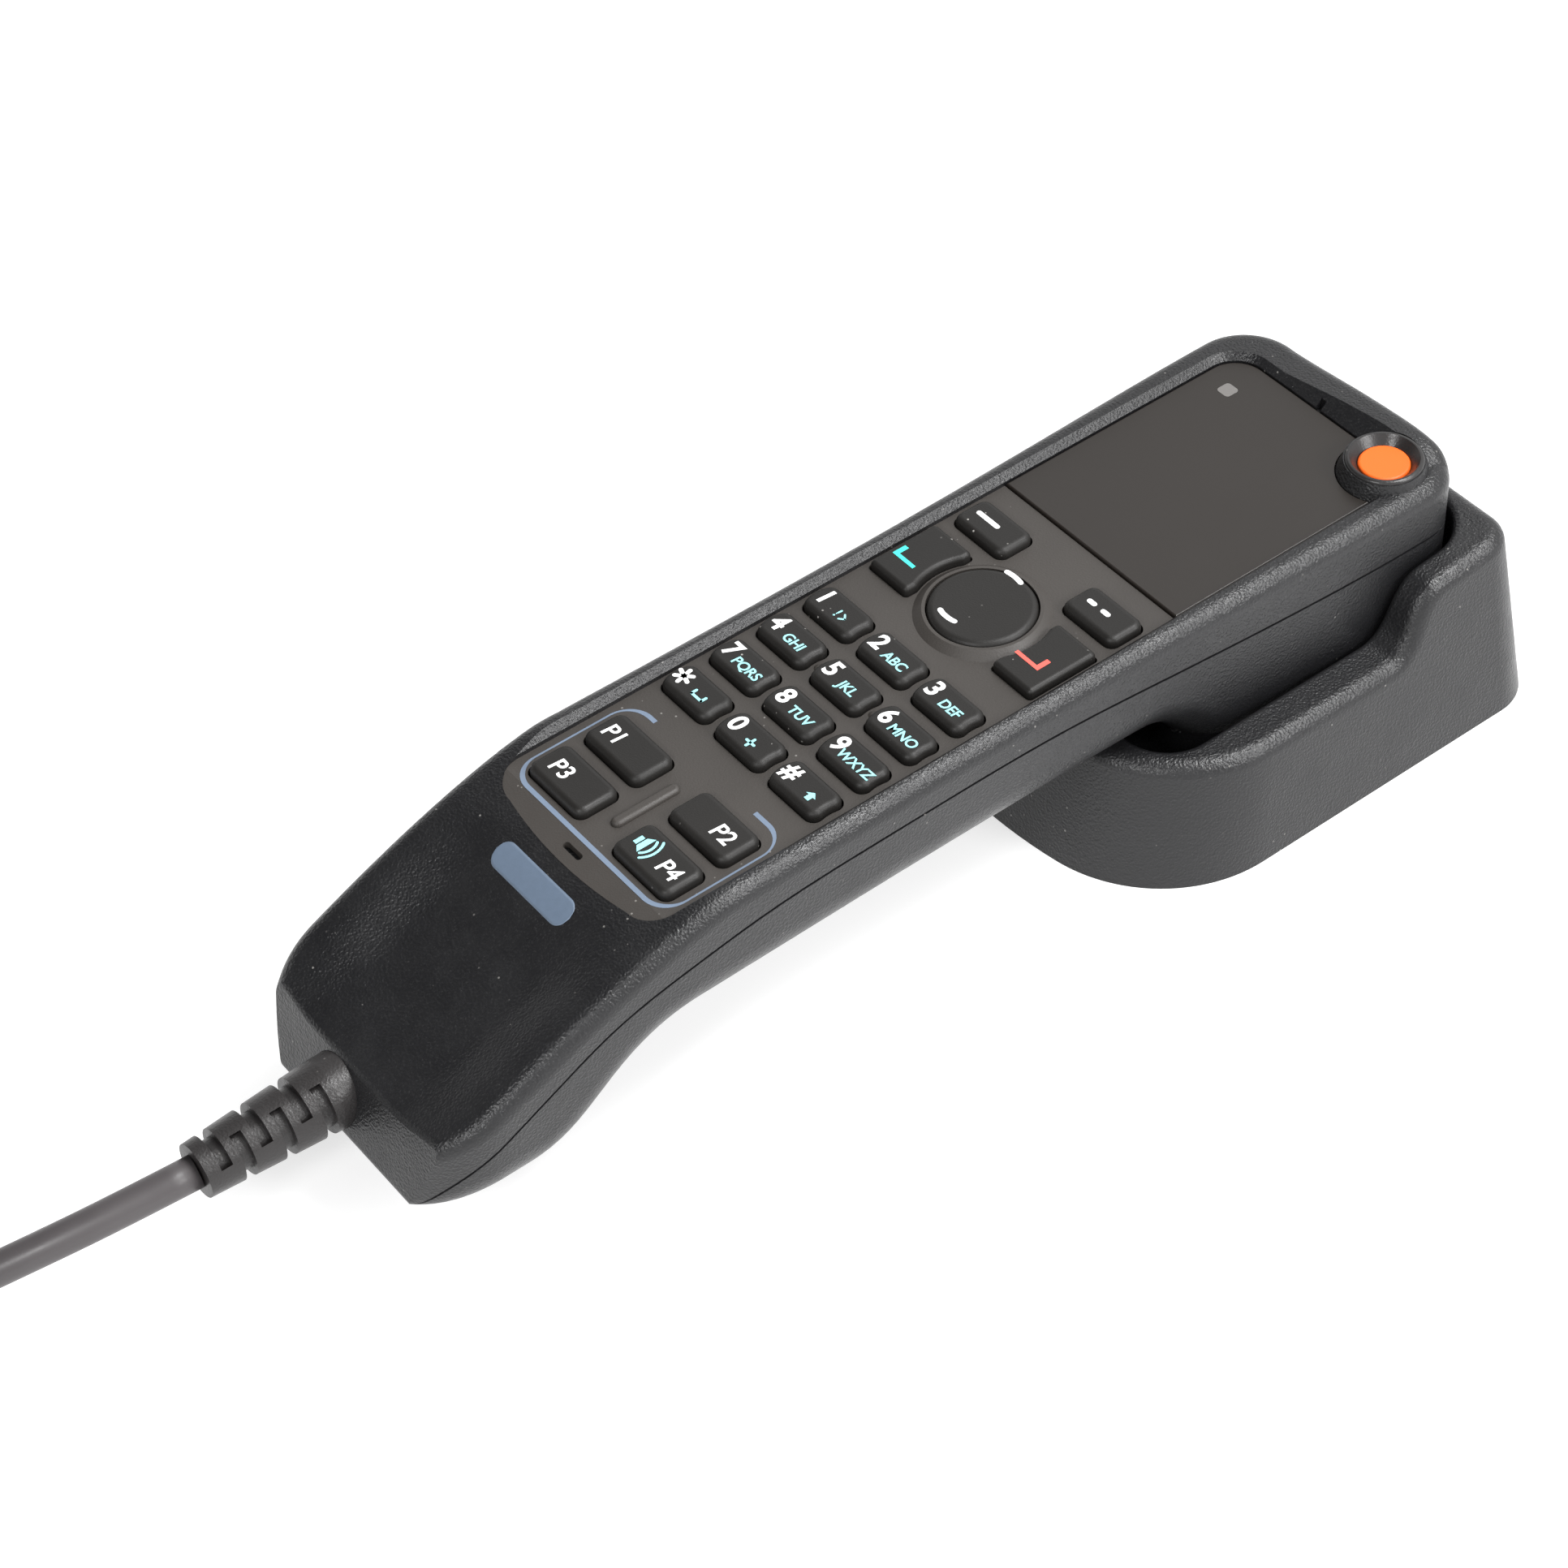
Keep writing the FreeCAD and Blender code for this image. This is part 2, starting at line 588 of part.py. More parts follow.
def front_shell(body, space):
    shell = body.fuse(end_lip()).common(above_split()).cut(space)
    shell = shell.cut(prism(panel_face(), PANEL_Z - PANEL_T, 10))
    shell = shell.cut(block(-60.2, 38.4, -21.0, 21.0, LEDGE_Z - 1, 10))
    shell = shell.cut(prism(window_face(), WINDOW_Z - WINDOW_T, RIM_FOOT_Z + 0.5))
    for slope in rim_slope():
        shell = shell.cut(slope)
    shell = shell.fuse(alarm_boss().cut(space))
    shell = shell.cut(block(LCD_X[0] - 0.3, LCD_X[1] + 0.3, -LCD_HALF - 0.3, LCD_HALF + 0.3, -10, 10))
    shell = shell.cut(led_block(0.05, -10, 10))
    shell = shell.cut(rod(COLLAR_R, ALARM_AT[0], ALARM_AT[1], WINDOW_Z - WINDOW_T, 10))
    shell = shell.cut(rod(COLLAR_R - 0.9, ALARM_AT[0], ALARM_AT[1], -10, 10))
    shell = shell.cut(block(WINDOW_X[1] - 0.5, WINDOW_X[1] + 1.3, 0.8, 2.0, WINDOW_Z - 0.8, 10))
    shell = shell.cut(relief_bore())
    for x, y in SHELL_SCREWS:
        roof = top_height(x, y) - POST_COVER
        post = rod(3.0, x, y, POST_Z, roof).common(body)
        shell = shell.fuse(post).cut(rod(SCREW_R + 0.02, x, y, POST_Z - 1, roof - 1.0))
    for x, y in BOARD_SCREWS:
        shell = shell.fuse(rod(2.2, x, y, BOARD_TOP, LEDGE_Z + 0.5))
        shell = shell.cut(rod(BOARD_SCREW_R + 0.02, x, y, BOARD_TOP - 1, BOARD_SCREW_TOP + 0.2))
    return shell.removeSplitter()


def rear_shell(body, space):
    shell = body.cut(above_split()).cut(space).cut(seam_groove())
    ring = rod(15.2, EAR_X, 0, EAR_Z + WALL - 0.2, EAR_Z + WALL + 5)
    shell = shell.fuse(ring.cut(rod(13.8, EAR_X, 0, -40, 0)))
    for i in range(12):
        angle = math.radians(30 * i)
        shell = shell.cut(rod(1.1, EAR_X + 8 * math.cos(angle), 8 * math.sin(angle), -40, -30))
    shell = shell.cut(rod(1.3, EAR_X, 0, -40, -30))
    for step in (-3.0, 0.0, 3.0):
        shell = shell.cut(rod(0.7, MIC_AT[0], MIC_AT[1] + step, -40, -32))
    for x, y in SHELL_SCREWS:
        post = rod(3.6, x, y, -36, POST_Z - 0.05).common(body)
        shell = shell.fuse(post).cut(rod(1.7, x, y, -50, POST_Z + 1))
        shell = shell.cut(rod(HEAD_R + 0.2, x, y, -50, SEAT_Z))
    return shell.cut(relief_bore()).removeSplitter()


def shell_screws():
    parts = []
    for x, y in SHELL_SCREWS:
        head = rod(HEAD_R, x, y, SEAT_Z - 1.8, SEAT_Z)
        socket = rod(1.1, x, y, SEAT_Z - 2, SEAT_Z - 0.9)
        parts.append(head.cut(socket).fuse(rod(SCREW_R, x, y, SEAT_Z - 0.1, top_height(x, y) - 4.0)))
    return parts


def board_screws():
    parts = []
    bottom = BOARD_TOP - BOARD_T
    for x, y in BOARD_SCREWS:
        head = rod(2.0, x, y, bottom - 1.4, bottom).cut(rod(0.9, x, y, bottom - 2, bottom - 0.7))
        parts.append(head.fuse(rod(BOARD_SCREW_R, x, y, bottom - 0.1, BOARD_SCREW_TOP)))
    return parts


def main_board():
    board = prism(rounded(-62.5, 94.2, -21.6, 21.6, 3.0), BOARD_TOP - BOARD_T, BOARD_TOP)
    for x, y in BOARD_SCREWS:
        board = board.cut(rod(BOARD_SCREW_R + 0.05, x, y, -10, 0))
    return board


def board_components():
    """Chips, a shield can and capacitors under the board."""
    z = BOARD_TOP - BOARD_T
    places = [(-40, -8, 12, 12, 1.6), (-15, 6, 14, 14, 1.4), (12, -6, 18, 16, 2.6), (32, 10, 8, 6, 1.8),
              (72, 8, 10, 8, 1.8), (-54, 12, 5, 5, 3.4)]
    return [block(x - a / 2, x + a / 2, y - b / 2, y + b / 2, z - h, z) for x, y, a, b, h in places]


def key_domes(keys):
    """One snap dome on the board under each key, and two under the round key."""
    radius = 9.0
    centres = [outline(0.0).BoundBox.Center for name, outline in keys]
    spots = [(c.x, c.y) for c in centres] + [(NAV_AT_X + 5.5, 0), (NAV_AT_X - 5.5, 0)]
    domes = []
    for x, y in spots:
        ball = Part.makeSphere(radius, V(x, y, BOARD_TOP + 0.35 - radius))
        domes.append(ball.common(block(x - 4, x + 4, y - 4, y + 4, BOARD_TOP, BOARD_TOP + 1)))
    return domes


def earpiece():
    """Speaker, its gasket and the mesh over the sound holes."""
    z = EAR_Z + WALL
    speaker = rod(13.4, EAR_X, 0, z + 1.4, z + 5.4).fuse(rod(7.0, EAR_X, 0, z + 5.3, z + 8.6))
    gasket = rod(13.4, EAR_X, 0, z + 0.5, z + 1.35).cut(rod(11.2, EAR_X, 0, z, z + 3))
    mesh = rod(13.0, EAR_X, 0, z + 0.05, z + 0.45)
    return speaker, gasket, mesh


def microphone():
    """Capsule and the rubber boot that holds it over the sound holes."""
    x, y = MIC_AT
    z = END_FOOT_Z + WALL + 0.1
    capsule = rod(4.8, x, y, z + 0.6, z + 5.0)
    boot = rod(6.2, x, y, z, z + 5.6).cut(rod(4.85, x, y, z + 0.55, z + 6))
    return capsule, boot.cut(rod(1.0, x, y, z - 1, z + 1))


def alarm_button():
    x, y = ALARM_AT
    cap = rod(ALARM_R, x, y, -3.6, ALARM_Z)
    cap = cap.makeFillet(0.5, [e for e in cap.Edges if abs(e.BoundBox.ZMin - ALARM_Z) < 1e-4])
    return cap.fuse(rod(ALARM_R + 0.7, x, y, -4.0, -3.2)).removeSplitter()


def alarm_collar():
    x, y = ALARM_AT
    ring = rod(COLLAR_R - 0.02, x, y, WINDOW_Z - WINDOW_T, COLLAR_Z)
    ring = ring.makeFillet(0.6, [e for e in ring.Edges if abs(e.BoundBox.ZMin - COLLAR_Z) < 1e-4])
    ring = ring.fuse(rod(COLLAR_R - 0.92, x, y, -5.0, WINDOW_Z - WINDOW_T))
    ring = ring.cut(rod(ALARM_R + 0.12, x, y, -6, 6))
    ring = ring.cut(Part.makeCone(ALARM_R + 0.12, COLLAR_R - 0.8, 1.6, V(x, y, ALARM_Z - 0.4)))
    return ring.cut(rod(ALARM_R + 0.85, x, y, -6, -3.1)).removeSplitter()


def strain_relief(space):
    """Tapered rubber sleeve with slots from two sides in turn, held by a flange behind the end wall."""
    length = -RELIEF_TIP_X - 110.0
    start = V(RELIEF_TIP_X, RELIEF_Y, RELIEF_Z)
    along = V(1, 0, 0)
    sleeve = Part.makeCone(RELIEF_TIP_R, RELIEF_R, length, start, along)
    neck = Part.makeCylinder(RELIEF_R, 7.0, V(-110.0, RELIEF_Y, RELIEF_Z), along)
    flange = Part.makeCylinder(RELIEF_R + 1.9, 5.0, V(-108.0, RELIEF_Y, RELIEF_Z), along)
    part = sleeve.fuse(neck).fuse(flange.common(space))
    core = Part.makeCone(RELIEF_TIP_R - SLOT_DEPTH, RELIEF_R - SLOT_DEPTH, length, start, along)
    reach = RELIEF_R + 2
    for i in range(SLOTS):
        x = SLOT_X - SLOT_PITCH * i
        cut = block(x - SLOT_W / 2, x + SLOT_W / 2, -SLOT_OVERLAP, reach, -reach, reach)
        cut.rotate(V(0, 0, 0), along, SLOT_TURN + 180 * (1 - i % 2))
        cut.translate(V(0, RELIEF_Y, RELIEF_Z))
        part = part.cut(cut.cut(core))
    return part.removeSplitter()


def inside_cable():
    """Thin cable from the clamp to the socket on the main board."""
    route = [(-96, RELIEF_Y, RELIEF_Z), (-90.5, RELIEF_Y, RELIEF_Z), (-82, 5, -24.5), (-72, 6.4, -17),
             (-60, 7.5, -11), (-50, 7.5, -11)]
    return tube(route, 1.3)


# ---------------------------------------------------------------- cords

def route_wire(points):
    """Straight runs joined by tangent arcs, each as large as its two runs allow."""
    pts = [V(*p) for p in points]
    edges = []
    radii = []
    last = pts[0]
    for a, b, c in zip(pts, pts[1:], pts[2:]):
        before, after = b - a, c - b
        half = before.getAngle(after) / 2
        cut = 0.45 * min(before.Length, after.Length)
        radii.append(cut / math.tan(half))
        d0 = V(before).normalize()
        d1 = V(after).normalize()
        enter, leave = b - d0 * cut, b + d1 * cut
        inward = (d1 - d0).normalize()
        middle = b + inward * (radii[-1] / math.cos(half) - radii[-1])
        edges.append(Part.LineSegment(last, enter).toShape())
        edges.append(Part.Arc(enter, middle, leave).toShape())
        last = leave
    edges.append(Part.LineSegment(last, pts[-1]).toShape())
    return Part.Wire(edges), radii


def tube(points, radius):
    wire, radii = route_wire(points)
    start = V(*points[0])
    ring = Part.Wire(Part.makeCircle(radius, start, V(*points[1]) - start))
    solid = wire.makePipeShell([ring], True, False)
    expected = math.pi * radius ** 2 * wire.Length
    print(f"tube length {wire.Length:.1f}, volume {solid.Volume:.0f} against {expected:.0f}, radii",
          " ".join(f"{r:.0f}" for r in radii))
    return solid


def coil_size():
    """Half of the ring's width, and its height."""
    return COIL_TURNS_WIDE * CORD_D / 2, COIL_LAYERS * CORD_D + 0.2


def coil_solid():
    """Outer shape of the coil that stores the spare cord."""
    half, height = coil_size()
    ring = rod(COIL_R + half, COIL_AT[0], COIL_AT[1], TABLE_Z, TABLE_Z + height)
    ring = ring.cut(rod(COIL_R - half, COIL_AT[0], COIL_AT[1], TABLE_Z - 1, TABLE_Z + height + 1))
    return ring.makeFillet(2.5, [e for e in ring.Edges if abs(e.BoundBox.ZMin - TABLE_Z - height) < 1e-4])


def outside_coil(cord, gap):
    """The stretch of a cord that is clear of the coil by gap."""
    half, height = coil_size()
    return cord.cut(rod(COIL_R + half + gap, COIL_AT[0], COIL_AT[1], TABLE_Z - 1, TABLE_Z + 30))


def coil_tie():
    """Strap over the coil's section, on the side towards the handset."""
    half, height = coil_size()
    x0, x1 = COIL_AT[0] + COIL_R - half, COIL_AT[0] + COIL_R + half
    y = COIL_AT[1]
    top = TABLE_Z + height + TIE_T
    outer = block(x0 - TIE_T, x1 + TIE_T, y - TIE_HALF, y + TIE_HALF, TABLE_Z, top)
    long_edges = [e for e in outer.Edges if abs(e.BoundBox.ZMin - top) < 1e-4 and e.BoundBox.YLength > 1]
    return outer.makeFillet(1.0, long_edges).cut(coil_solid())


def plug_pieces():
    """Eight-way modular plug, its blades and its boot, lying on the table and pointing to -y."""
    x, y = PLUG_AT
    w, h = 11.7 / 2, 6.7
    z = TABLE_Z
    shell = block(x - w, x + w, y - 21.5, y, z, z + h)
    latch = block(x - 3.1, x + 3.1, y - 18.5, y - 4.5, z + h - 0.01, z + h + 1.2)
    slots = [x - 3.57 + 1.02 * i for i in range(8)]
    blades = []
    for s in slots:
        cut = block(s - 0.3, s + 0.3, y - 21.6, y - 15.5, z - 1, z + 2.0)
        shell = shell.cut(cut)
        blades.append(block(s - 0.25, s + 0.25, y - 21.3, y - 15.7, z + 0.2, z + 1.9))
    wires = []
    for y_at, half, z0, z1 in ((y, 5.6, z + 0.1, z + h), (y + 13, 3.9, z + 0.1, z + 6.0)):
        corners = [V(x - half, y_at, z0), V(x + half, y_at, z0), V(x + half, y_at, z1), V(x - half, y_at, z1)]
        wires.append(Part.makePolygon(corners + corners[:1]))
    boot = Part.makeLoft(wires, True, True)
    return shell.fuse(latch).removeSplitter(), blades, boot


# ---------------------------------------------------------------- cradle

def cradle_outline(z):
    """Footprint of the cradle's outside at height z above the table."""
    half = BASE_HALF - 0.1495 * z
    near = CRADLE_NEAR_X + 0.29 * z
    far = CRADLE_FAR_X - 0.1495 * z
    r_near, r_far, big = 27.0 - 0.1 * z, 10.0 - 0.11 * z, 100.0
    cx = near + big - math.sqrt((big - r_near) ** 2 - (half - r_near) ** 2)
    turn = math.degrees(math.asin((half - r_near) / (big - r_near)))
    zz = z + TABLE_Z
    edges = [
        corner(near + big, 0, big, 180 - turn, 180 + turn, zz),
        corner(cx, -half + r_near, r_near, 180 + turn, 270, zz),
        seg((cx, -half, zz), (far - r_far, -half, zz)),
        corner(far - r_far, -half + r_far, r_far, -90, 0, zz),
        seg((far, -half + r_far, zz), (far, half - r_far, zz)),
        corner(far - r_far, half - r_far, r_far, 0, 90, zz),
        seg((far - r_far, half, zz), (cx, half, zz)),
        corner(cx, half - r_near, r_near, 90, 180 - turn, zz)]
    return Part.Wire(edges)


def cradle_form():
    return Part.makeLoft([cradle_outline(0), cradle_outline(42)], True, True)


def rim_space():
    """Everything under the rim: low beside the grip and high round the earpiece."""
    t = TABLE_Z
    low, side, far = RIM_LOW + t, RIM_SIDE + t, RIM_FAR + t
    edges = [
        seg((0, 0, t - 5), (0, 0, low)), seg((0, 0, low), (78, 0, low)),
        spline([(78, 0, low), (84.5, 0, (low + side) / 2), (91, 0, side)], (1, 0, 0), (1, 0, 0.12)),
        seg((91, 0, side), (112, 0, far)), seg((112, 0, far), (130, 0, far)),
        seg((130, 0, far), (130, 0, t - 5)), seg((130, 0, t - 5), (0, 0, t - 5))]
    solid = face(edges).extrude(V(0, 100, 0))
    solid.translate(V(0, -50, 0))
    return solid


def cup_space():
    x0, x1 = CUP_X
    return prism(rounded(x0, x1, -CUP_HALF, CUP_HALF, 9.0), TABLE_Z + CUP_FLOOR, TABLE_Z + 60)


def pick_rim_edges(edge, normals):
    flat, steep = normals
    if steep.z < 0.5 or abs(flat.z) > 0.4 or edge.BoundBox.ZMin < TABLE_Z + 20:
        return None
    inner = abs(flat.z) < 0.02
    return (RIM_IN_R, RIM_IN_R) if inner else (RIM_OUT_R, RIM_OUT_R)


def cradle_body(form):
    t = TABLE_Z
    solid = form.common(rim_space()).common(block(0, 130, -50, 50, t + BASE_T, t + 60)).cut(cup_space())
    solid = round_edges(solid.Solids[0], pick_rim_edges)
    under = prism(rounded(36, 104, -30, 30, 12), t, t + CUP_FLOOR - 2.4)
    solid = solid.cut(under)
    for x, y in CRADLE_SCREWS:
        solid = solid.fuse(rod(3.6, x, y, t + BASE_T + 0.02, t + CUP_FLOOR - 2))
        solid = solid.cut(rod(SCREW_R + 0.02, x, y, t, t + CUP_FLOOR - 3.2))
    solid = solid.fuse(rod(5.6, MAGNET_X, 0, t + MAGNET_Z[0], t + CUP_FLOOR - 2))
    solid = solid.cut(rod(4.05, MAGNET_X, 0, t, t + MAGNET_Z[1] + 0.05))
    for x, y in MOUNT_HOLES:
        solid = solid.fuse(rod(4.4, x, y, t + BASE_T + 0.02, t + CUP_FLOOR - 2))
        solid = solid.cut(rod(MOUNT_R, x, y, t, t + 20))
    return solid.removeSplitter()


def cradle_base(form):
    t = TABLE_Z
    plate = form.common(block(0, 130, -50, 50, t, t + BASE_T))
    for x, y in CRADLE_SCREWS:
        plate = plate.cut(rod(1.7, x, y, t - 1, t + 9)).cut(rod(HEAD_R + 0.2, x, y, t - 1, t + 2.0))
    for x, y in MOUNT_HOLES:
        plate = plate.cut(rod(MOUNT_R, x, y, t - 1, t + 9))
    return plate


def cradle_screws():
    t = TABLE_Z
    parts = []
    for x, y in CRADLE_SCREWS:
        head = rod(HEAD_R, x, y, t + 0.3, t + 2.0).cut(rod(1.1, x, y, t, t + 1.2))
        parts.append(head.fuse(rod(SCREW_R, x, y, t + 1.9, t + CUP_FLOOR - 3.6)))
    return parts


def ballast_plate():
    t = TABLE_Z + BASE_T
    plate = prism(rounded(39, 101, -26, 26, 6), t + 0.05, t + 5.0)
    for x, y in CRADLE_SCREWS:
        plate = plate.cut(rod(3.9, x, y, t - 1, t + 9))
    for x, y in MOUNT_HOLES:
        plate = plate.cut(rod(4.7, x, y, t - 1, t + 9))
    return plate.cut(rod(5.9, MAGNET_X, 0, t - 1, t + 9))


def cradle_pads():
    """Two soft strips on the cup's floor, which the handset rests on."""
    t = TABLE_Z + CUP_FLOOR
    top = EAR_Z - 0.05
    pads = [prism(rounded(56, 94, s * 15.5 - 2.5, s * 15.5 + 2.5, 1.5), t, top) for s in (1, -1)]
    return pads


# ---------------------------------------------------------------- hand-in

def place(shape):
    moved = shape.copy()
    moved.translate(V(-ORIGIN_X, 0, -TABLE_Z))
    return moved


def save(name, shape):
    """Writes one node. A list of solids becomes one group."""
    solids = shape if isinstance(shape, list) else [shape]
    whole = Part.makeCompound(solids) if len(solids) > 1 else solids[0]
    count = sum(len(s.Solids) for s in solids)
    if not whole.isValid() or count != len(solids):
        print(f"CHECK {name}: valid {whole.isValid()}, solids {count} for {len(solids)}")
    place(whole).exportStep(f"parts/{name}.step")


def main():
    os.makedirs("parts", exist_ok=True)
    keys = key_table()
    body = outer_body()
    space = hollow()
    save("front_shell", front_shell(body, space))
    save("rear_shell", rear_shell(body, space))
    save("keypad_panel", keypad_panel(keys))
    save("display_window", display_window())
    save("led_lens", led_block(0.0, LEDGE_Z, WINDOW_Z))
    module, frame = display()
    save("display_module", module)
    save("display_frame", frame)
    save("keypad_mat", prism(rounded(MAT_X[0], MAT_X[1], -MAT_HALF, MAT_HALF, 2.0), MAT_TOP - MAT_T, MAT_TOP))
    save("key_domes", key_domes(keys))
    save("main_board", main_board())
    save("board_components", board_components())
    for name, outline in keys:
        save(name, key_solid(outline))
    save("nav_key", nav_key())
    speaker, gasket, mesh = earpiece()
    save("earpiece_speaker", speaker)
    save("earpiece_gasket", gasket)
    save("earpiece_mesh", mesh)
    capsule, boot = microphone()
    save("microphone_capsule", capsule)
    save("microphone_boot", boot)
    save("emergency_button", alarm_button())
    save("emergency_collar", alarm_collar())
    save("emergency_switch", block(89.5, 93.6, -19.3, -15.3, BOARD_TOP, -5.3))
    save("shell_screws", shell_screws())
    save("board_screws", board_screws())
    relief = strain_relief(space)
    save("strain_relief", relief)
    save("cable_clamp", block(-102.8, -96.0, RELIEF_Y - 5, RELIEF_Y + 5, RELIEF_Z - 4.5, RELIEF_Z + 3.8))
    save("inside_cable", inside_cable())
    save("board_socket", block(-50.0, -43.0, 3.0, 12.0, -12.9, BOARD_TOP - BOARD_T))
    save("reed_switch", Part.makeCylinder(1.1, 12, V(60, -6, BOARD_TOP - BOARD_T - 1.15), V(0, 1, 0)))
    form = cradle_form()
    save("cradle_body", cradle_body(form))
    save("cradle_base", cradle_base(form))
    save("cradle_screws", cradle_screws())
    save("ballast_plate", ballast_plate())
    save("cradle_pads", cradle_pads())
    save("cradle_magnet", rod(4.0, MAGNET_X, 0, TABLE_Z + MAGNET_Z[0], TABLE_Z + MAGNET_Z[1]))
    plug, blades, boot = plug_pieces()
    save("cord_lead", outside_coil(tube(LEAD_ROUTE, CORD_D / 2), 0.3).cut(relief))
    save("cord_coil", coil_solid())
    save("cord_tail", outside_coil(tube(TAIL_ROUTE, CORD_D / 2), 0.05).cut(boot))
    save("coil_tie", coil_tie())
    save("plug_body", plug)
    save("plug_contacts", blades)
    save("plug_boot", boot)


main()
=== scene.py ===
import math

import bmesh
import bpy
from mathutils import Matrix, Vector
from mathutils.bvhtree import BVHTree


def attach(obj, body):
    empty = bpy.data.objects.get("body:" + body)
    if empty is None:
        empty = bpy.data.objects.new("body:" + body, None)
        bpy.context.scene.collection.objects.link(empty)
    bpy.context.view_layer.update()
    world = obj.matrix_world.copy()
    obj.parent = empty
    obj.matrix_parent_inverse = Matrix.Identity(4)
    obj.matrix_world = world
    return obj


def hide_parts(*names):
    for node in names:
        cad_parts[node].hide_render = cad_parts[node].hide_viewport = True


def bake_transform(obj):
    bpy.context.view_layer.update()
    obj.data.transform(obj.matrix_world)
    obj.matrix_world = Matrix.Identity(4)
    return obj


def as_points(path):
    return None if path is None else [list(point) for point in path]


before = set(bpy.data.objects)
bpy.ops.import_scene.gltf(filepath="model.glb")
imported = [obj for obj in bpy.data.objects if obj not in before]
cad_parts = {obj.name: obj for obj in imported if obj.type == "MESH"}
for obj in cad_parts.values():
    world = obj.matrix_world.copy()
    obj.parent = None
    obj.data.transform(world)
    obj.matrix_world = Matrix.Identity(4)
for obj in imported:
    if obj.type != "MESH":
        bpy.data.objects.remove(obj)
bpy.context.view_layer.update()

# Looks of the control handset in its desk cradle, in metres. +X runs from the cord end to the
# display end, +Y to the left of a reader who looks along +X, +Z up. Legends and trim are placed in
# the drawing's millimetres, whose origin is the middle of the handset at the height of the key tops.

MM = 0.001
KEY_TOP = Vector((0.00975, 0.0, 0.048))
PANEL_Z = -1.7
PRINT_T = 0.03

CORD_D = 0.0056
LEAD_ROUTE = [(-0.12375, 0.0040, 0.0193), (-0.13725, 0.0056, 0.0184), (-0.15125, 0.0100, 0.0148),
              (-0.16725, 0.0170, 0.0086), (-0.18275, 0.0260, 0.0038), (-0.19825, 0.0360, 0.0028)]
TAIL_ROUTE = [(-0.23025, 0.0469, 0.0082), (-0.24425, 0.0463, 0.0074), (-0.25825, 0.0415, 0.0050),
              (-0.26975, 0.0325, 0.0034), (-0.27725, 0.0205, 0.0031), (-0.27975, 0.0070, 0.0031)]
COIL_AT = (-0.22725, 0.0050)
COIL_R_OUT = 0.0419
COIL_PITCH = 0.00575
COIL_TURNS = 3.5
COIL_START = 70
COIL_STEPS = 16
COIL_Z = (0.0028, 0.0085)

# A coil's spline runs inside its control points, so these stand wider by this factor.
CORD_SPLINE_GROWTH = 1.0194


def at(x, y, z=0.0):
    """A point of the drawing, in millimetres, as a point of the frame, in metres."""
    return Vector((x * MM, y * MM, z * MM)) + KEY_TOP


# ---------------------------------------------------------------- camera

CAMERA_LENS = 89.068
CAMERA_AT = (-0.26605, -0.3537, 0.48095)
CAMERA_TURN = (44.17397, 2.13666, -37.82006)


def make_camera():
    cam = bpy.data.cameras.new("camera")
    cam.lens = CAMERA_LENS
    cam.sensor_width = 36.0
    cam.clip_start = 0.02
    cam.clip_end = 20.0
    eye = bpy.data.objects.new("camera", cam)
    eye.location = CAMERA_AT
    eye.rotation_euler = [math.radians(a) for a in CAMERA_TURN]
    bpy.context.scene.collection.objects.link(eye)
    bpy.context.scene.camera = eye


# ---------------------------------------------------------------- mesh helpers

def add_object(name, mesh, material=None):
    obj = bpy.data.objects.new(name, mesh)
    bpy.context.scene.collection.objects.link(obj)
    if material:
        mesh.materials.append(material)
    return obj


def from_bmesh(name, bm, material=None, smooth=True):
    bmesh.ops.recalc_face_normals(bm, faces=bm.faces)
    mesh = bpy.data.meshes.new(name)
    bm.to_mesh(mesh)
    bm.free()
    for p in mesh.polygons:
        p.use_smooth = smooth
    return add_object(name, mesh, material)


def slab(bm, outline, z0, z1):
    """Closed prism over a flat outline of (x, y) points in metres."""
    low = [bm.verts.new((x, y, z0)) for x, y in outline]
    high = [bm.verts.new((x, y, z1)) for x, y in outline]
    n = len(outline)
    for i in range(n):
        j = (i + 1) % n
        bm.faces.new((low[i], low[j], high[j], high[i]))
    bm.faces.new(high)
    bm.faces.new(list(reversed(low)))


def sweep(name, line, radius, sides=20):
    """Round tube along a line of points, with a closed flat end at each end."""
    bm = bmesh.new()
    rings = []
    tangent = (line[1] - line[0]).normalized()
    side = tangent.orthogonal().normalized()
    for i, p in enumerate(line):
        ahead = line[min(i + 1, len(line) - 1)] - line[max(i - 1, 0)]
        ahead.normalize()
        side = (side - ahead * side.dot(ahead)).normalized()
        up = ahead.cross(side)
        ring = []
        for k in range(sides):
            a = 2 * math.pi * k / sides
            ring.append(bm.verts.new(p + side * math.cos(a) * radius + up * math.sin(a) * radius))
        rings.append(ring)
    for a, b in zip(rings, rings[1:]):
        for k in range(sides):
            m = (k + 1) % sides
            bm.faces.new((a[k], a[m], b[m], b[k]))
    bm.faces.new(list(reversed(rings[0])))
    bm.faces.new(rings[-1])
    return from_bmesh(name, bm)


# ---------------------------------------------------------------- cord

def coil_points():
    """Two layers of turns: inwards on the table, then outwards on top of them."""
    steps = int(2 * COIL_TURNS * COIL_STEPS)
    middle = steps / 2
    points = []
    for i in range(steps + 1):
        turn = i / COIL_STEPS
        inward = min(turn, 2 * COIL_TURNS - turn)
        r = (COIL_R_OUT - COIL_PITCH * inward) * CORD_SPLINE_GROWTH
        a = math.radians(COIL_START + 360 * turn)
        climb = min(1.0, max(0.0, (i - middle) / 4 + 0.5))
        z = COIL_Z[0] + (COIL_Z[1] - COIL_Z[0]) * climb
        points.append((COIL_AT[0] + r * math.cos(a), COIL_AT[1] + r * math.sin(a), z))
    return points


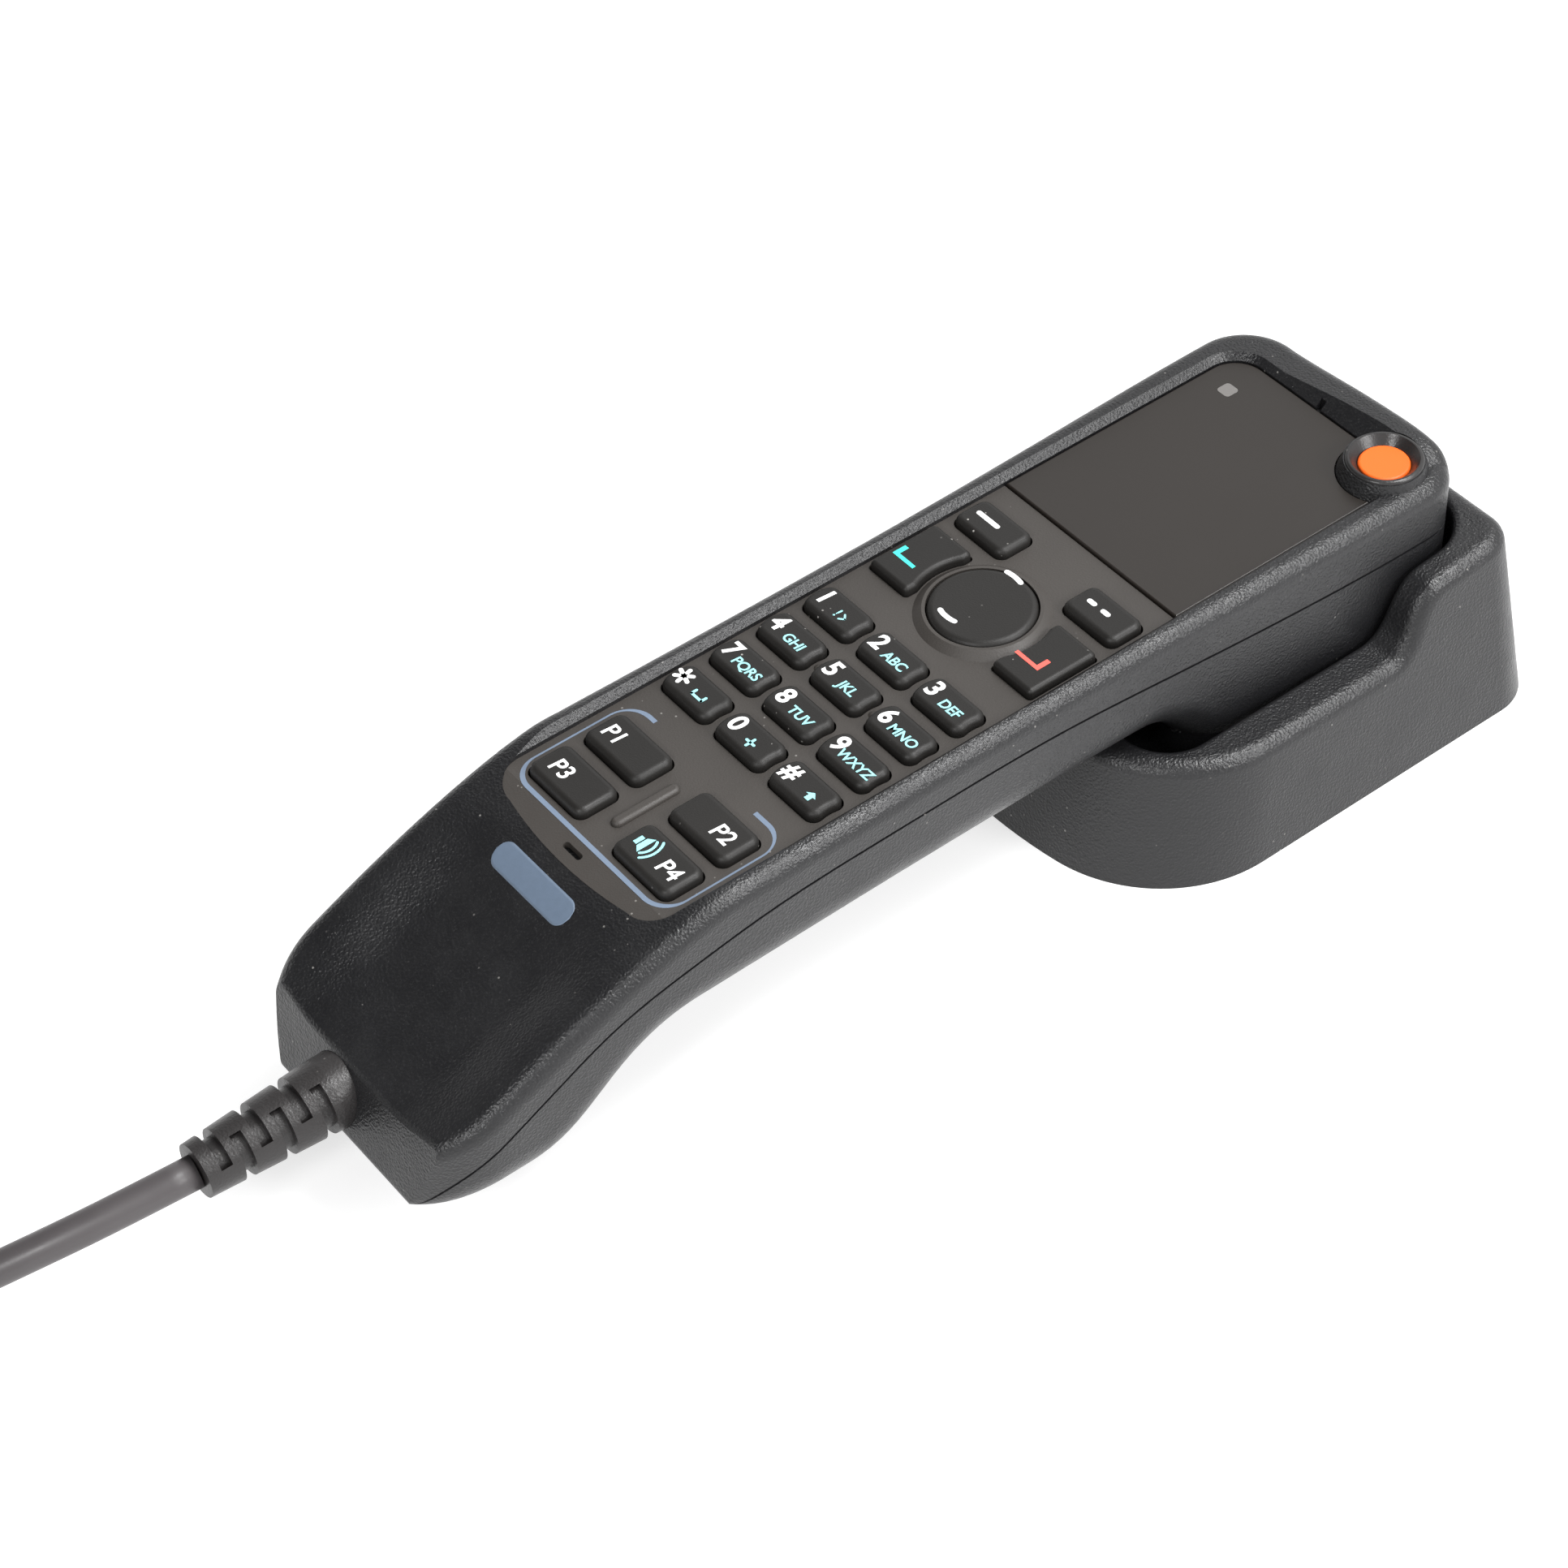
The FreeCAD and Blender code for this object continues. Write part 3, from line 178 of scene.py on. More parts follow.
def smooth_line(points):
    """Points along the NURBS spline that has the route's points as its control points."""
    curve = bpy.data.curves.new("route", "CURVE")
    curve.dimensions = "3D"
    curve.resolution_u = 6
    spline = curve.splines.new("NURBS")
    spline.points.add(len(points) - 1)
    for p, co in zip(spline.points, points):
        p.co = (*co, 1.0)
    spline.order_u = 3
    spline.use_endpoint_u = True
    holder = bpy.data.objects.new("route", curve)
    mesh = bpy.data.meshes.new_from_object(holder)
    line = [v.co.copy() for v in mesh.vertices]
    bpy.data.objects.remove(holder)
    bpy.data.meshes.remove(mesh)
    bpy.data.curves.remove(curve)
    return line


def make_cord(material):
    line = smooth_line(LEAD_ROUTE + coil_points() + TAIL_ROUTE)
    cord = sweep("cord", line, CORD_D / 2)
    cord.data.materials.append(material)
    return cord, line


# ---------------------------------------------------------------- materials

class Nodes:
    """Short hand for building one material's node tree."""

    def __init__(self, name):
        self.material = bpy.data.materials.new(name)
        self.material.use_nodes = True
        self.tree = self.material.node_tree
        self.shader = self.tree.nodes["Principled BSDF"]
        self.place = self.tree.nodes.new("ShaderNodeTexCoord").outputs["Object"]

    def link(self, a, b):
        self.tree.links.new(a, b)

    def noise(self, scale, detail=2.0, roughness=0.5, stretch=None):
        node = self.tree.nodes.new("ShaderNodeTexNoise")
        node.inputs["Scale"].default_value = scale
        node.inputs["Detail"].default_value = detail
        node.inputs["Roughness"].default_value = roughness
        if stretch:
            mapping = self.tree.nodes.new("ShaderNodeMapping")
            mapping.inputs["Scale"].default_value = stretch
            self.link(self.place, mapping.inputs["Vector"])
            self.link(mapping.outputs["Vector"], node.inputs["Vector"])
        else:
            self.link(self.place, node.inputs["Vector"])
        return node.outputs["Fac"]

    def cells(self, scale):
        node = self.tree.nodes.new("ShaderNodeTexVoronoi")
        node.feature = "SMOOTH_F1"
        node.inputs["Scale"].default_value = scale
        self.link(self.place, node.inputs["Vector"])
        return node.outputs["Distance"]

    def specks(self, scale, size):
        """1 in a few small round specks, 0 elsewhere."""
        node = self.tree.nodes.new("ShaderNodeTexVoronoi")
        node.inputs["Scale"].default_value = scale
        self.link(self.place, node.inputs["Vector"])
        return self.remap(node.outputs["Distance"], size, size * 0.6, 0.0, 1.0)

    def remap(self, value, a, b, low, high):
        node = self.tree.nodes.new("ShaderNodeMapRange")
        node.inputs["From Min"].default_value = a
        node.inputs["From Max"].default_value = b
        node.inputs["To Min"].default_value = low
        node.inputs["To Max"].default_value = high
        self.link(value, node.inputs["Value"])
        return node.outputs["Result"]

    def mix(self, fac, a, b):
        """Colour between a and b, each a colour or another node's output."""
        node = self.tree.nodes.new("ShaderNodeMix")
        node.data_type = "RGBA"
        self.link(fac, node.inputs["Factor"])
        for value, socket in ((a, node.inputs[6]), (b, node.inputs[7])):
            if isinstance(value, tuple):
                socket.default_value = (*value, 1.0)
            else:
                self.link(value, socket)
        return node.outputs[2]

    def times(self, a, b):
        node = self.tree.nodes.new("ShaderNodeMath")
        node.operation = "MULTIPLY"
        self.link(a, node.inputs[0])
        self.link(b, node.inputs[1])
        return node.outputs[0]

    def bump(self, heights):
        """heights: pairs of a height output and how deep it is, in metres."""
        normal = None
        for height, depth in heights:
            node = self.tree.nodes.new("ShaderNodeBump")
            node.inputs["Strength"].default_value = 1.0
            node.inputs["Distance"].default_value = depth
            self.link(height, node.inputs["Height"])
            if normal:
                self.link(normal, node.inputs["Normal"])
            normal = node.outputs["Normal"]
        self.link(normal, self.shader.inputs["Normal"])

    def set(self, **values):
        for key, value in values.items():
            socket = self.shader.inputs[key.replace("_", " ")]
            if isinstance(value, tuple):
                value = (*value, 1.0)
            socket.default_value = value


def shade(colour, factor):
    return tuple(c * factor for c in colour)


def moulded(name, colour, rough, grain, depth, dust=0.10, specular=0.5):
    """Moulded plastic or rubber: a fine grain, uneven gloss, slight mottling and a few dust specks."""
    n = Nodes(name)
    broad = n.noise(55, 3)
    fine = n.noise(grain * 1.9, 2)
    cells = n.cells(grain)
    tone = n.mix(broad, shade(colour, 0.82), shade(colour, 1.18))
    speck = n.times(n.specks(420, 0.09), n.remap(n.noise(90, 1), 0.50, 0.62, 0.0, dust * 3))
    n.link(n.mix(speck, tone, (0.55, 0.53, 0.50)), n.shader.inputs["Base Color"])
    n.link(n.remap(n.noise(130, 4, 0.6), 0.3, 0.7, rough - 0.06, rough + 0.07), n.shader.inputs["Roughness"])
    n.bump([(fine, depth * 0.5), (cells, depth)])
    n.set(Specular_IOR_Level=specular)
    return n.material


def printed(name, colour, rough=0.5):
    """Print on a key or on the panel: slightly uneven ink."""
    n = Nodes(name)
    n.link(n.mix(n.noise(900, 3), shade(colour, 0.90), shade(colour, 1.06)), n.shader.inputs["Base Color"])
    n.link(n.remap(n.noise(1600, 2), 0.3, 0.7, rough - 0.06, rough + 0.06), n.shader.inputs["Roughness"])
    n.bump([(n.noise(2600, 2), 0.000012)])
    return n.material


def metal(name, colour, rough):
    n = Nodes(name)
    brushed = n.noise(700, 3, 0.6, (1.0, 9.0, 1.0))
    n.link(n.mix(brushed, shade(colour, 0.85), colour), n.shader.inputs["Base Color"])
    n.link(n.remap(brushed, 0.3, 0.7, rough - 0.06, rough + 0.08), n.shader.inputs["Roughness"])
    n.bump([(brushed, 0.00001)])
    n.set(Metallic=1.0)
    return n.material


def glossy(name, colour, rough, coat, ripple=0.000006):
    """Smooth plastic with a clear skin and faint handling marks."""
    n = Nodes(name)
    n.link(n.mix(n.noise(40, 2), shade(colour, 0.94), shade(colour, 1.06)), n.shader.inputs["Base Color"])
    smears = n.noise(60, 5, 0.65)
    n.link(n.remap(smears, 0.35, 0.75, rough, rough + 0.12), n.shader.inputs["Roughness"])
    n.bump([(n.noise(500, 2), ripple)])
    n.set(Coat_Weight=coat, Coat_Roughness=0.12)
    return n.material


def fabric(name, colour):
    n = Nodes(name)
    across = n.noise(2600, 1, 0.5, (1.0, 0.18, 1.0))
    along = n.noise(2600, 1, 0.5, (0.18, 1.0, 1.0))
    weave = n.mix(across, shade(colour, 0.6), shade(colour, 1.3))
    n.link(weave, n.shader.inputs["Base Color"])
    n.link(n.remap(along, 0.3, 0.7, 0.75, 0.95), n.shader.inputs["Roughness"])
    n.bump([(across, 0.00015), (along, 0.00015)])
    n.set(Sheen_Weight=0.5, Sheen_Roughness=0.4)
    return n.material


def clear_plastic(name, colour):
    n = Nodes(name)
    n.link(n.mix(n.noise(200, 2), shade(colour, 0.9), colour), n.shader.inputs["Base Color"])
    n.link(n.remap(n.noise(400, 3), 0.3, 0.7, 0.08, 0.2), n.shader.inputs["Roughness"])
    n.bump([(n.noise(700, 2), 0.00001)])
    n.set(Transmission_Weight=0.75, IOR=1.58)
    return n.material


def make_materials():
    m = {}
    m["shell"] = moulded("shell_plastic", (0.011, 0.011, 0.012), 0.33, 2400, 0.00011)
    m["panel"] = moulded("panel_plastic", (0.043, 0.038, 0.034), 0.52, 3200, 0.00002)
    m["key"] = moulded("key_rubber", (0.013, 0.012, 0.011), 0.48, 3600, 0.000015, 0.2, 0.35)
    m["cable"] = moulded("cable_rubber", (0.064, 0.058, 0.060), 0.40, 2600, 0.00001, 0.05)
    m["relief"] = moulded("relief_rubber", (0.020, 0.018, 0.018), 0.36, 2400, 0.00004, 0.05)
    m["soft"] = moulded("soft_rubber", (0.02, 0.02, 0.02), 0.7, 2600, 0.00003, 0.05)
    m["collar"] = moulded("collar_plastic", (0.020, 0.019, 0.019), 0.30, 2600, 0.00002, 0.05)
    m["alarm"] = glossy("alarm_orange", (1.0, 0.14, 0.008), 0.45, 0.0)
    m["window"] = glossy("window_acrylic", (0.017, 0.0135, 0.011), 0.35, 0.0, 0.000001)
    m["led"] = glossy("led_diffuser", (0.16, 0.152, 0.145), 0.40, 0.2, 0.000002)
    m["white"] = printed("print_white", (0.92, 0.92, 0.92))
    m["cyan"] = printed("print_cyan", (0.36, 0.80, 0.83))
    m["green"] = printed("print_green", (0.06, 0.78, 0.66))
    m["red"] = printed("print_red", (0.95, 0.13, 0.10))
    m["blue_grey"] = printed("print_blue_grey", (0.16, 0.21, 0.29), 0.45)
    m["badge"] = printed("print_badge", (0.115, 0.155, 0.215), 0.45)
    m["steel"] = metal("steel", (0.55, 0.55, 0.56), 0.3)
    m["dome"] = metal("dome_steel", (0.6, 0.6, 0.6), 0.25)
    m["gold"] = metal("contact_gold", (0.95, 0.68, 0.25), 0.25)
    m["magnet"] = metal("magnet_metal", (0.5, 0.5, 0.52), 0.35)
    m["board"] = glossy("board", (0.02, 0.16, 0.07), 0.35, 0.4)
    m["chip"] = moulded("chip_plastic", (0.025, 0.025, 0.027), 0.5, 4000, 0.00001, 0.0)
    m["lcd"] = glossy("lcd_glass", (0.10, 0.11, 0.10), 0.15, 0.6)
    m["white_plastic"] = glossy("white_plastic", (0.75, 0.75, 0.73), 0.4, 0.1)
    m["plug"] = clear_plastic("plug_clear", (0.88, 0.90, 0.92))
    m["tie"] = fabric("tie_fabric", (0.03, 0.03, 0.035))
    return m


NODE_MATERIALS = {
    "shell": ["front_shell", "rear_shell", "cradle_body", "cradle_base"],
    "panel": ["keypad_panel"],
    "window": ["display_window"],
    "led": ["led_lens"],
    "alarm": ["emergency_button"],
    "collar": ["emergency_collar", "plug_boot"],
    "relief": ["strain_relief"],
    "cable": ["inside_cable", "cord_lead", "cord_coil", "cord_tail"],
    "soft": ["keypad_mat", "earpiece_gasket", "microphone_boot", "cradle_pads"],
    "steel": ["shell_screws", "board_screws", "cradle_screws", "ballast_plate", "earpiece_mesh"],
    "dome": ["key_domes"],
    "board": ["main_board"],
    "chip": ["board_components", "earpiece_speaker", "emergency_switch"],
    "lcd": ["display_module"],
    "white_plastic": ["display_frame", "board_socket", "reed_switch", "microphone_capsule", "cable_clamp"],
    "gold": ["plug_contacts"],
    "plug": ["plug_body"],
    "magnet": ["cradle_magnet"],
    "tie": ["coil_tie"],
}


def dress_nodes(m):
    chosen = {}
    for key, names in NODE_MATERIALS.items():
        for name in names:
            chosen[name] = m[key]
    for name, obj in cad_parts.items():
        material = chosen.get(name, m["key"])
        for slot in obj.material_slots:
            slot.material = material
        if not obj.material_slots:
            obj.data.materials.append(material)


# ---------------------------------------------------------------- print on the keys

WHITE_HEIGHT = 3.5
WHITE_BOLD = 0.14
LETTER_HEIGHT = 1.95
LETTER_BOLD = 0.05
LETTER_SPACING = 0.98
P_HEIGHT = 3.1
P_BOLD = 0.06
SLANT = 0.08
FONT_CAP = 0.73


def text_outline(text, height, bold, slant, spacing=1.0):
    """Mesh of a word, cap height in millimetres, reading along +x with its middle at the origin."""
    curve = bpy.data.curves.new("word", "FONT")
    curve.body = text
    curve.size = height / FONT_CAP
    curve.align_x = "CENTER"
    curve.align_y = "CENTER"
    curve.offset = bold
    curve.shear = slant
    curve.space_character = spacing
    curve.resolution_u = 6
    curve.extrude = PRINT_T
    holder = bpy.data.objects.new("word", curve)
    mesh = bpy.data.meshes.new_from_object(holder)
    bpy.data.objects.remove(holder)
    bpy.data.curves.remove(curve)
    return mesh


def bar(a, b, width):
    """Round-ended stroke from a to b, as an outline in millimetres."""
    ax, ay = a
    bx, by = b
    angle = math.atan2(by - ay, bx - ax)
    r = width / 2
    points = []
    for (cx, cy), start in ((b, -90), (a, 90)):
        for k in range(9):
            t = angle + math.radians(start + 22.5 * k)
            points.append((cx + r * math.cos(t), cy + r * math.sin(t)))
    return points


def arc_bar(cx, cy, r, a0, a1, width, steps=14):
    """Curved stroke about (cx, cy), as an outline in millimetres, with rounded ends."""
    outer, inner = [], []
    for k in range(steps + 1):
        t = math.radians(a0 + (a1 - a0) * k / steps)
        outer.append((cx + (r + width / 2) * math.cos(t), cy + (r + width / 2) * math.sin(t)))
        inner.append((cx + (r - width / 2) * math.cos(t), cy + (r - width / 2) * math.sin(t)))
    caps = []
    for a, start in ((a1, 0), (a0, 180)):
        t = math.radians(a)
        mx, my = cx + r * math.cos(t), cy + r * math.sin(t)
        caps.append([(mx + width / 2 * math.cos(t + math.radians(start + s)),
                      my + width / 2 * math.sin(t + math.radians(start + s))) for s in (45, 90, 135)])
    return outer + caps[0] + list(reversed(inner)) + caps[1]


class Print:
    """The marks on one key, in millimetres of the drawing, joined into one piece."""

    def __init__(self, name):
        self.name = name
        self.bm = bmesh.new()
        self.colours = []

    def index(self, material):
        if material not in self.colours:
            self.colours.append(material)
        return self.colours.index(material)

    def word(self, text, x, y, material, height, bold=0.0, slant=SLANT, spacing=1.0):
        mesh = text_outline(text, height, bold, slant, spacing)
        turn = Matrix.Translation((x, y, 0)) @ Matrix.Rotation(math.radians(-90), 4, "Z")
        mesh.transform(turn)
        self.add(mesh, material)

    def shape(self, outline, material):
        bm = bmesh.new()
        slab(bm, outline, -PRINT_T, PRINT_T)
        mesh = bpy.data.meshes.new("shape")
        bm.to_mesh(mesh)
        bm.free()
        self.add(mesh, material)

    def add(self, mesh, material):
        first = len(self.bm.faces)
        self.bm.from_mesh(mesh)
        self.bm.faces.ensure_lookup_table()
        for f in self.bm.faces[first:]:
            f.material_index = self.index(material)
        bpy.data.meshes.remove(mesh)

    def done(self, body):
        bmesh.ops.scale(self.bm, vec=(MM, MM, MM), verts=self.bm.verts)
        bmesh.ops.translate(self.bm, vec=KEY_TOP, verts=self.bm.verts)
        obj = from_bmesh(self.name, self.bm, smooth=False)
        for material in self.colours:
            obj.data.materials.append(material)
        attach(obj, body)
        return obj


COLUMN = 14.0
ROW = 9.6
ROW_1_X = 0.35
DIGIT_AT = (0.5, 4.1)
LETTERS_AT = (-0.5, -0.7)
LETTERS_DOWN = 0.3
LETTERS = ["", "ABC", "DEF", "GHI", "JKL", "MNO", "PQRS", "TUV", "WXYZ", "", "", ""]
SIGNS = "123456789*0#"
DIGIT_KEYS = ["key_1", "key_2", "key_3", "key_4", "key_5", "key_6", "key_7", "key_8", "key_9",
              "key_star", "key_0", "key_hash"]

# Strokes (from, to, width) of the small signs, about the place of the letters.
STAR_SIGN = [((-0.4, 0.9), (0.6, 0.9), 0.5), ((-0.4, 0.9), (-0.4, -1.6), 0.5),
             ((-0.4, -1.6), (0.6, -1.6), 0.5)]
ONE_SIGN = [((-0.6, -0.7), (0.1, -1.5), 0.34), ((0.8, -0.7), (0.1, -1.5), 0.34)]
ZERO_SIGN = [((-0.9, 0), (0.9, 0), 0.5), ((0, -0.9), (0, 0.9), 0.5)]
HASH_ARROW = [(1.0, -1.3), (0.1, -2.4), (0.1, -1.8), (-0.9, -1.8), (-0.9, -0.8), (0.1, -0.8), (0.1, -0.2)]
STAR_ARM = 1.55
STAR_ARM_W = 0.75


def strokes(marks, x, y, lines, material):
    for (ax, ay), (bx, by), width in lines:
        marks.shape(bar((x + ax, y + ay), (x + bx, y + by), width), material)


def white_star(marks, x, y, material):
    for turn in (0, 60, 120):
        t = math.radians(turn + 12)
        ux, uy = STAR_ARM * math.cos(t), STAR_ARM * math.sin(t)
        marks.shape(bar((x - ux, y - uy), (x + ux, y + uy), STAR_ARM_W), material)


def print_digits(m):
    for i, name in enumerate(DIGIT_KEYS):
        x = ROW_1_X - ROW * (i // 3)
        y = COLUMN * (1 - i % 3)
        marks = Print("print_" + name)
        dx, dy = x + DIGIT_AT[0], y + DIGIT_AT[1]
        lx, ly = x + LETTERS_AT[0], y + LETTERS_AT[1]
        if SIGNS[i] == "*":
            white_star(marks, dx, dy, m["white"])
            strokes(marks, lx, ly, STAR_SIGN, m["cyan"])
        else:
            marks.word(SIGNS[i], dx, dy, m["white"], WHITE_HEIGHT, WHITE_BOLD)
        if LETTERS[i]:
            y_letters = ly - LETTERS_DOWN
            marks.word(LETTERS[i], lx, y_letters, m["cyan"], LETTER_HEIGHT, LETTER_BOLD, SLANT,
                       LETTER_SPACING)
        elif name == "key_1":
            marks.word("!", lx + 0.1, ly + 0.5, m["cyan"], LETTER_HEIGHT, 0.03)
            strokes(marks, lx, ly, ONE_SIGN, m["cyan"])
        elif name == "key_0":
            strokes(marks, lx, ly, ZERO_SIGN, m["cyan"])
        elif name == "key_hash":
            marks.shape([(lx + ax, ly + ay) for ax, ay in HASH_ARROW], m["cyan"])
        marks.done(name)


P_LABELS = [(-44.4, 14.6), (-44.4, -13.8), (-55.3, 13.7), (-55.3, -14.5)]
SPEAKER = [[(-55.8, -6.0), (-54.0, -6.0), (-54.0, -6.8), (-55.8, -6.8)],
           [(-55.9, -7.1), (-53.8, -7.1), (-52.9, -8.2), (-56.7, -8.2)]]
SPEAKER_WAVES = (-54.8, -6.6)
SPEAKER_WAVE_R = (2.7, 3.7)
MARK_W = 0.95
SOFT_MARK_X = 33.2
SOFT_LEFT_MARKS = [(17.6, 13.0)]
SOFT_RIGHT_MARKS = [(-10.4, -11.5), (-13.7, -14.8)]
NAV_MARKS_AT = (19.2, 1.8)
NAV_MARKS = [(8.35, -12, 12), (6.2, 163, 197)]
CALL_MARK = [(16.0, 19.3), (16.0, 14.2), (16.75, 14.2), (16.75, 18.35), (18.7, 18.35), (18.7, 19.3)]
END_MARK = [(16.1, -17.3), (16.1, -11.7), (16.85, -11.7), (16.85, -16.35), (19.0, -16.35), (19.0, -17.3)]


def print_one(body, outlines, material):
    marks = Print("print_" + body)
    for outline in outlines:
        marks.shape(outline, material)
    marks.done(body)


def print_programmable(m):
    for i, (x, y) in enumerate(P_LABELS):
        marks = Print(f"print_key_p{i + 1}")
        marks.word(f"P{i + 1}", x, y, m["white"], P_HEIGHT, P_BOLD)
        if i == 3:
            for outline in SPEAKER:
                marks.shape(outline, m["cyan"])
            for r in SPEAKER_WAVE_R:
                marks.shape(arc_bar(*SPEAKER_WAVES, r, 230, 310, 0.45), m["cyan"])
        marks.done(f"key_p{i + 1}")


def print_others(m):
    for body, ends in (("softkey_left", SOFT_LEFT_MARKS), ("softkey_right", SOFT_RIGHT_MARKS)):
        bars = [bar((SOFT_MARK_X, a), (SOFT_MARK_X, b), MARK_W) for a, b in ends]
        print_one(body, bars, m["white"])
    arcs = [arc_bar(*NAV_MARKS_AT, r, a0, a1, MARK_W) for r, a0, a1 in NAV_MARKS]
    print_one("nav_key", arcs, m["white"])
    print_one("call_key", [CALL_MARK], m["green"])
    print_one("end_key", [END_MARK], m["red"])


def stroke(points, widths):
    """Band along an open line of (x, y) points, with a width at each point."""
    left, right = [], []
    for i, (x, y) in enumerate(points):
        a = points[max(i - 1, 0)]
        b = points[min(i + 1, len(points) - 1)]
        length = math.hypot(b[0] - a[0], b[1] - a[1])
        nx, ny = -(b[1] - a[1]) / length, (b[0] - a[0]) / length
        w = widths[i] / 2
        left.append((x + nx * w, y + ny * w))
        right.append((x - nx * w, y - ny * w))
    return left, right


LINE_X = (-60.7, -36.8)
LINE_HALF = 20.0
LINE_R = 4.6
LINE_ENDS = (14.0, -12.0)
LINE_W = 0.85
LINE_THINNER = 0.5


def line_width(x, y):
    """Width of the line: thin along its two straight sides, full elsewhere."""
    at_side = min(1.0, max(0.0, (abs(y) - 16.5) / 3.2))
    past_corner = min(1.0, max(0.0, (x - LINE_X[0] - 0.5) / 4.0))
    return LINE_W - LINE_THINNER * at_side * past_corner


def frame_line(m):
    """Line on the panel round the four keys at the cord end, open towards the dialling keys."""
    x0, x1, h, r = *LINE_X, LINE_HALF, LINE_R
    points = [(x1, LINE_ENDS[0])]
    for cx, cy, a0 in ((x1 - r, h - r, 0), (x0 + r, h - r, 90), (x0 + r, r - h, 180), (x1 - r, r - h, 270)):
        for k in range(13):
            a = math.radians(a0 + 7.5 * k)
            points.append((cx + r * math.cos(a), cy + r * math.sin(a)))
    points.append((x1, LINE_ENDS[1]))
    left, right = stroke(points, [line_width(*p) for p in points])
    bm = bmesh.new()
    rows = []
    for level in (PANEL_Z - PRINT_T, PANEL_Z + PRINT_T):
        rows.append([bm.verts.new((*p, level)) for p in left])
        rows.append([bm.verts.new((*p, level)) for p in right])
    for i in range(len(points) - 1):
        for a, b in ((0, 1), (1, 3), (3, 2), (2, 0)):
            bm.faces.new((rows[a][i], rows[b][i], rows[b][i + 1], rows[a][i + 1]))
    for i in (0, -1):
        bm.faces.new((rows[0][i], rows[1][i], rows[3][i], rows[2][i]))
    bmesh.ops.scale(bm, vec=(MM, MM, MM), verts=bm.verts)
    bmesh.ops.translate(bm, vec=KEY_TOP, verts=bm.verts)
    line = from_bmesh("panel_line", bm, m["blue_grey"], smooth=False)
    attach(line, "handset")


BADGE_AT = (-70.5, 0.7)
BADGE_HALF = 9.75
BADGE_R = 2.2
BADGE_GRID = (60, 10)
BADGE_ABOVE = 0.05 * MM
BADGE_BELOW = 0.10 * MM
BADGE_WELD = 0.004 * MM


def badge(m):
    """Plain oval badge that follows the scooped surface at the cord end."""
    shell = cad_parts["front_shell"]
    mesh = shell.data
    tree = BVHTree.FromPolygons([v.co for v in mesh.vertices], [p.vertices for p in mesh.polygons])
    columns, rows = BADGE_GRID
    bm = bmesh.new()
    grid = []
    for i in range(columns + 1):
        v = BADGE_HALF * (2 * i / columns - 1)
        past = max(0.0, abs(v) - BADGE_HALF + BADGE_R)
        reach = math.sqrt(max(0.0, BADGE_R ** 2 - past ** 2))
        line = []
        for j in range(rows + 1):
            u = reach * (2 * j / rows - 1)
            above = at(BADGE_AT[0] + u, BADGE_AT[1] + v, 5.0)
            line.append(tree.ray_cast(above, Vector((0, 0, -1)))[0])
        grid.append(line)
    top = [[bm.verts.new(p + Vector((0, 0, BADGE_ABOVE))) for p in line] for line in grid]
    low = [[bm.verts.new(p - Vector((0, 0, BADGE_BELOW))) for p in line] for line in grid]
    for i in range(columns):
        for j in range(rows):
            bm.faces.new((top[i][j], top[i + 1][j], top[i + 1][j + 1], top[i][j + 1]))
            bm.faces.new((low[i][j + 1], low[i + 1][j + 1], low[i + 1][j], low[i][j]))
        for j in (0, rows):
            bm.faces.new((top[i][j], low[i][j], low[i + 1][j], top[i + 1][j]))
    bmesh.ops.remove_doubles(bm, verts=bm.verts, dist=BADGE_WELD)
    plate = from_bmesh("badge", bm, m["badge"])
    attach(plate, "handset")


# ---------------------------------------------------------------- stage

DARK_SIDE = (-0.702, 0.451, 0.551)
DARK_RAMP = [(0.30, 1.0), (0.55, 0.45), (0.78, 0.06), (0.95, 0.02)]
DARK_ABOVE = (0.10, 0.35)
FLOOR_GLOW = 0.63
AIM = Vector((0, 0, 0.03))


def make_stage():
    bm = bmesh.new()
    bmesh.ops.create_grid(bm, x_segments=2, y_segments=2, size=3.0)
    floor = from_bmesh("floor", bm)
    n = Nodes("floor")
    n.link(n.mix(n.noise(3, 2), (0.50, 0.50, 0.50), (0.52, 0.52, 0.52)), n.shader.inputs["Base Color"])
    n.set(Roughness=0.9, Specular_IOR_Level=0.1, Emission_Color=(1.0, 1.0, 1.0), Emission_Strength=FLOOR_GLOW)
    floor.data.materials.append(n.material)


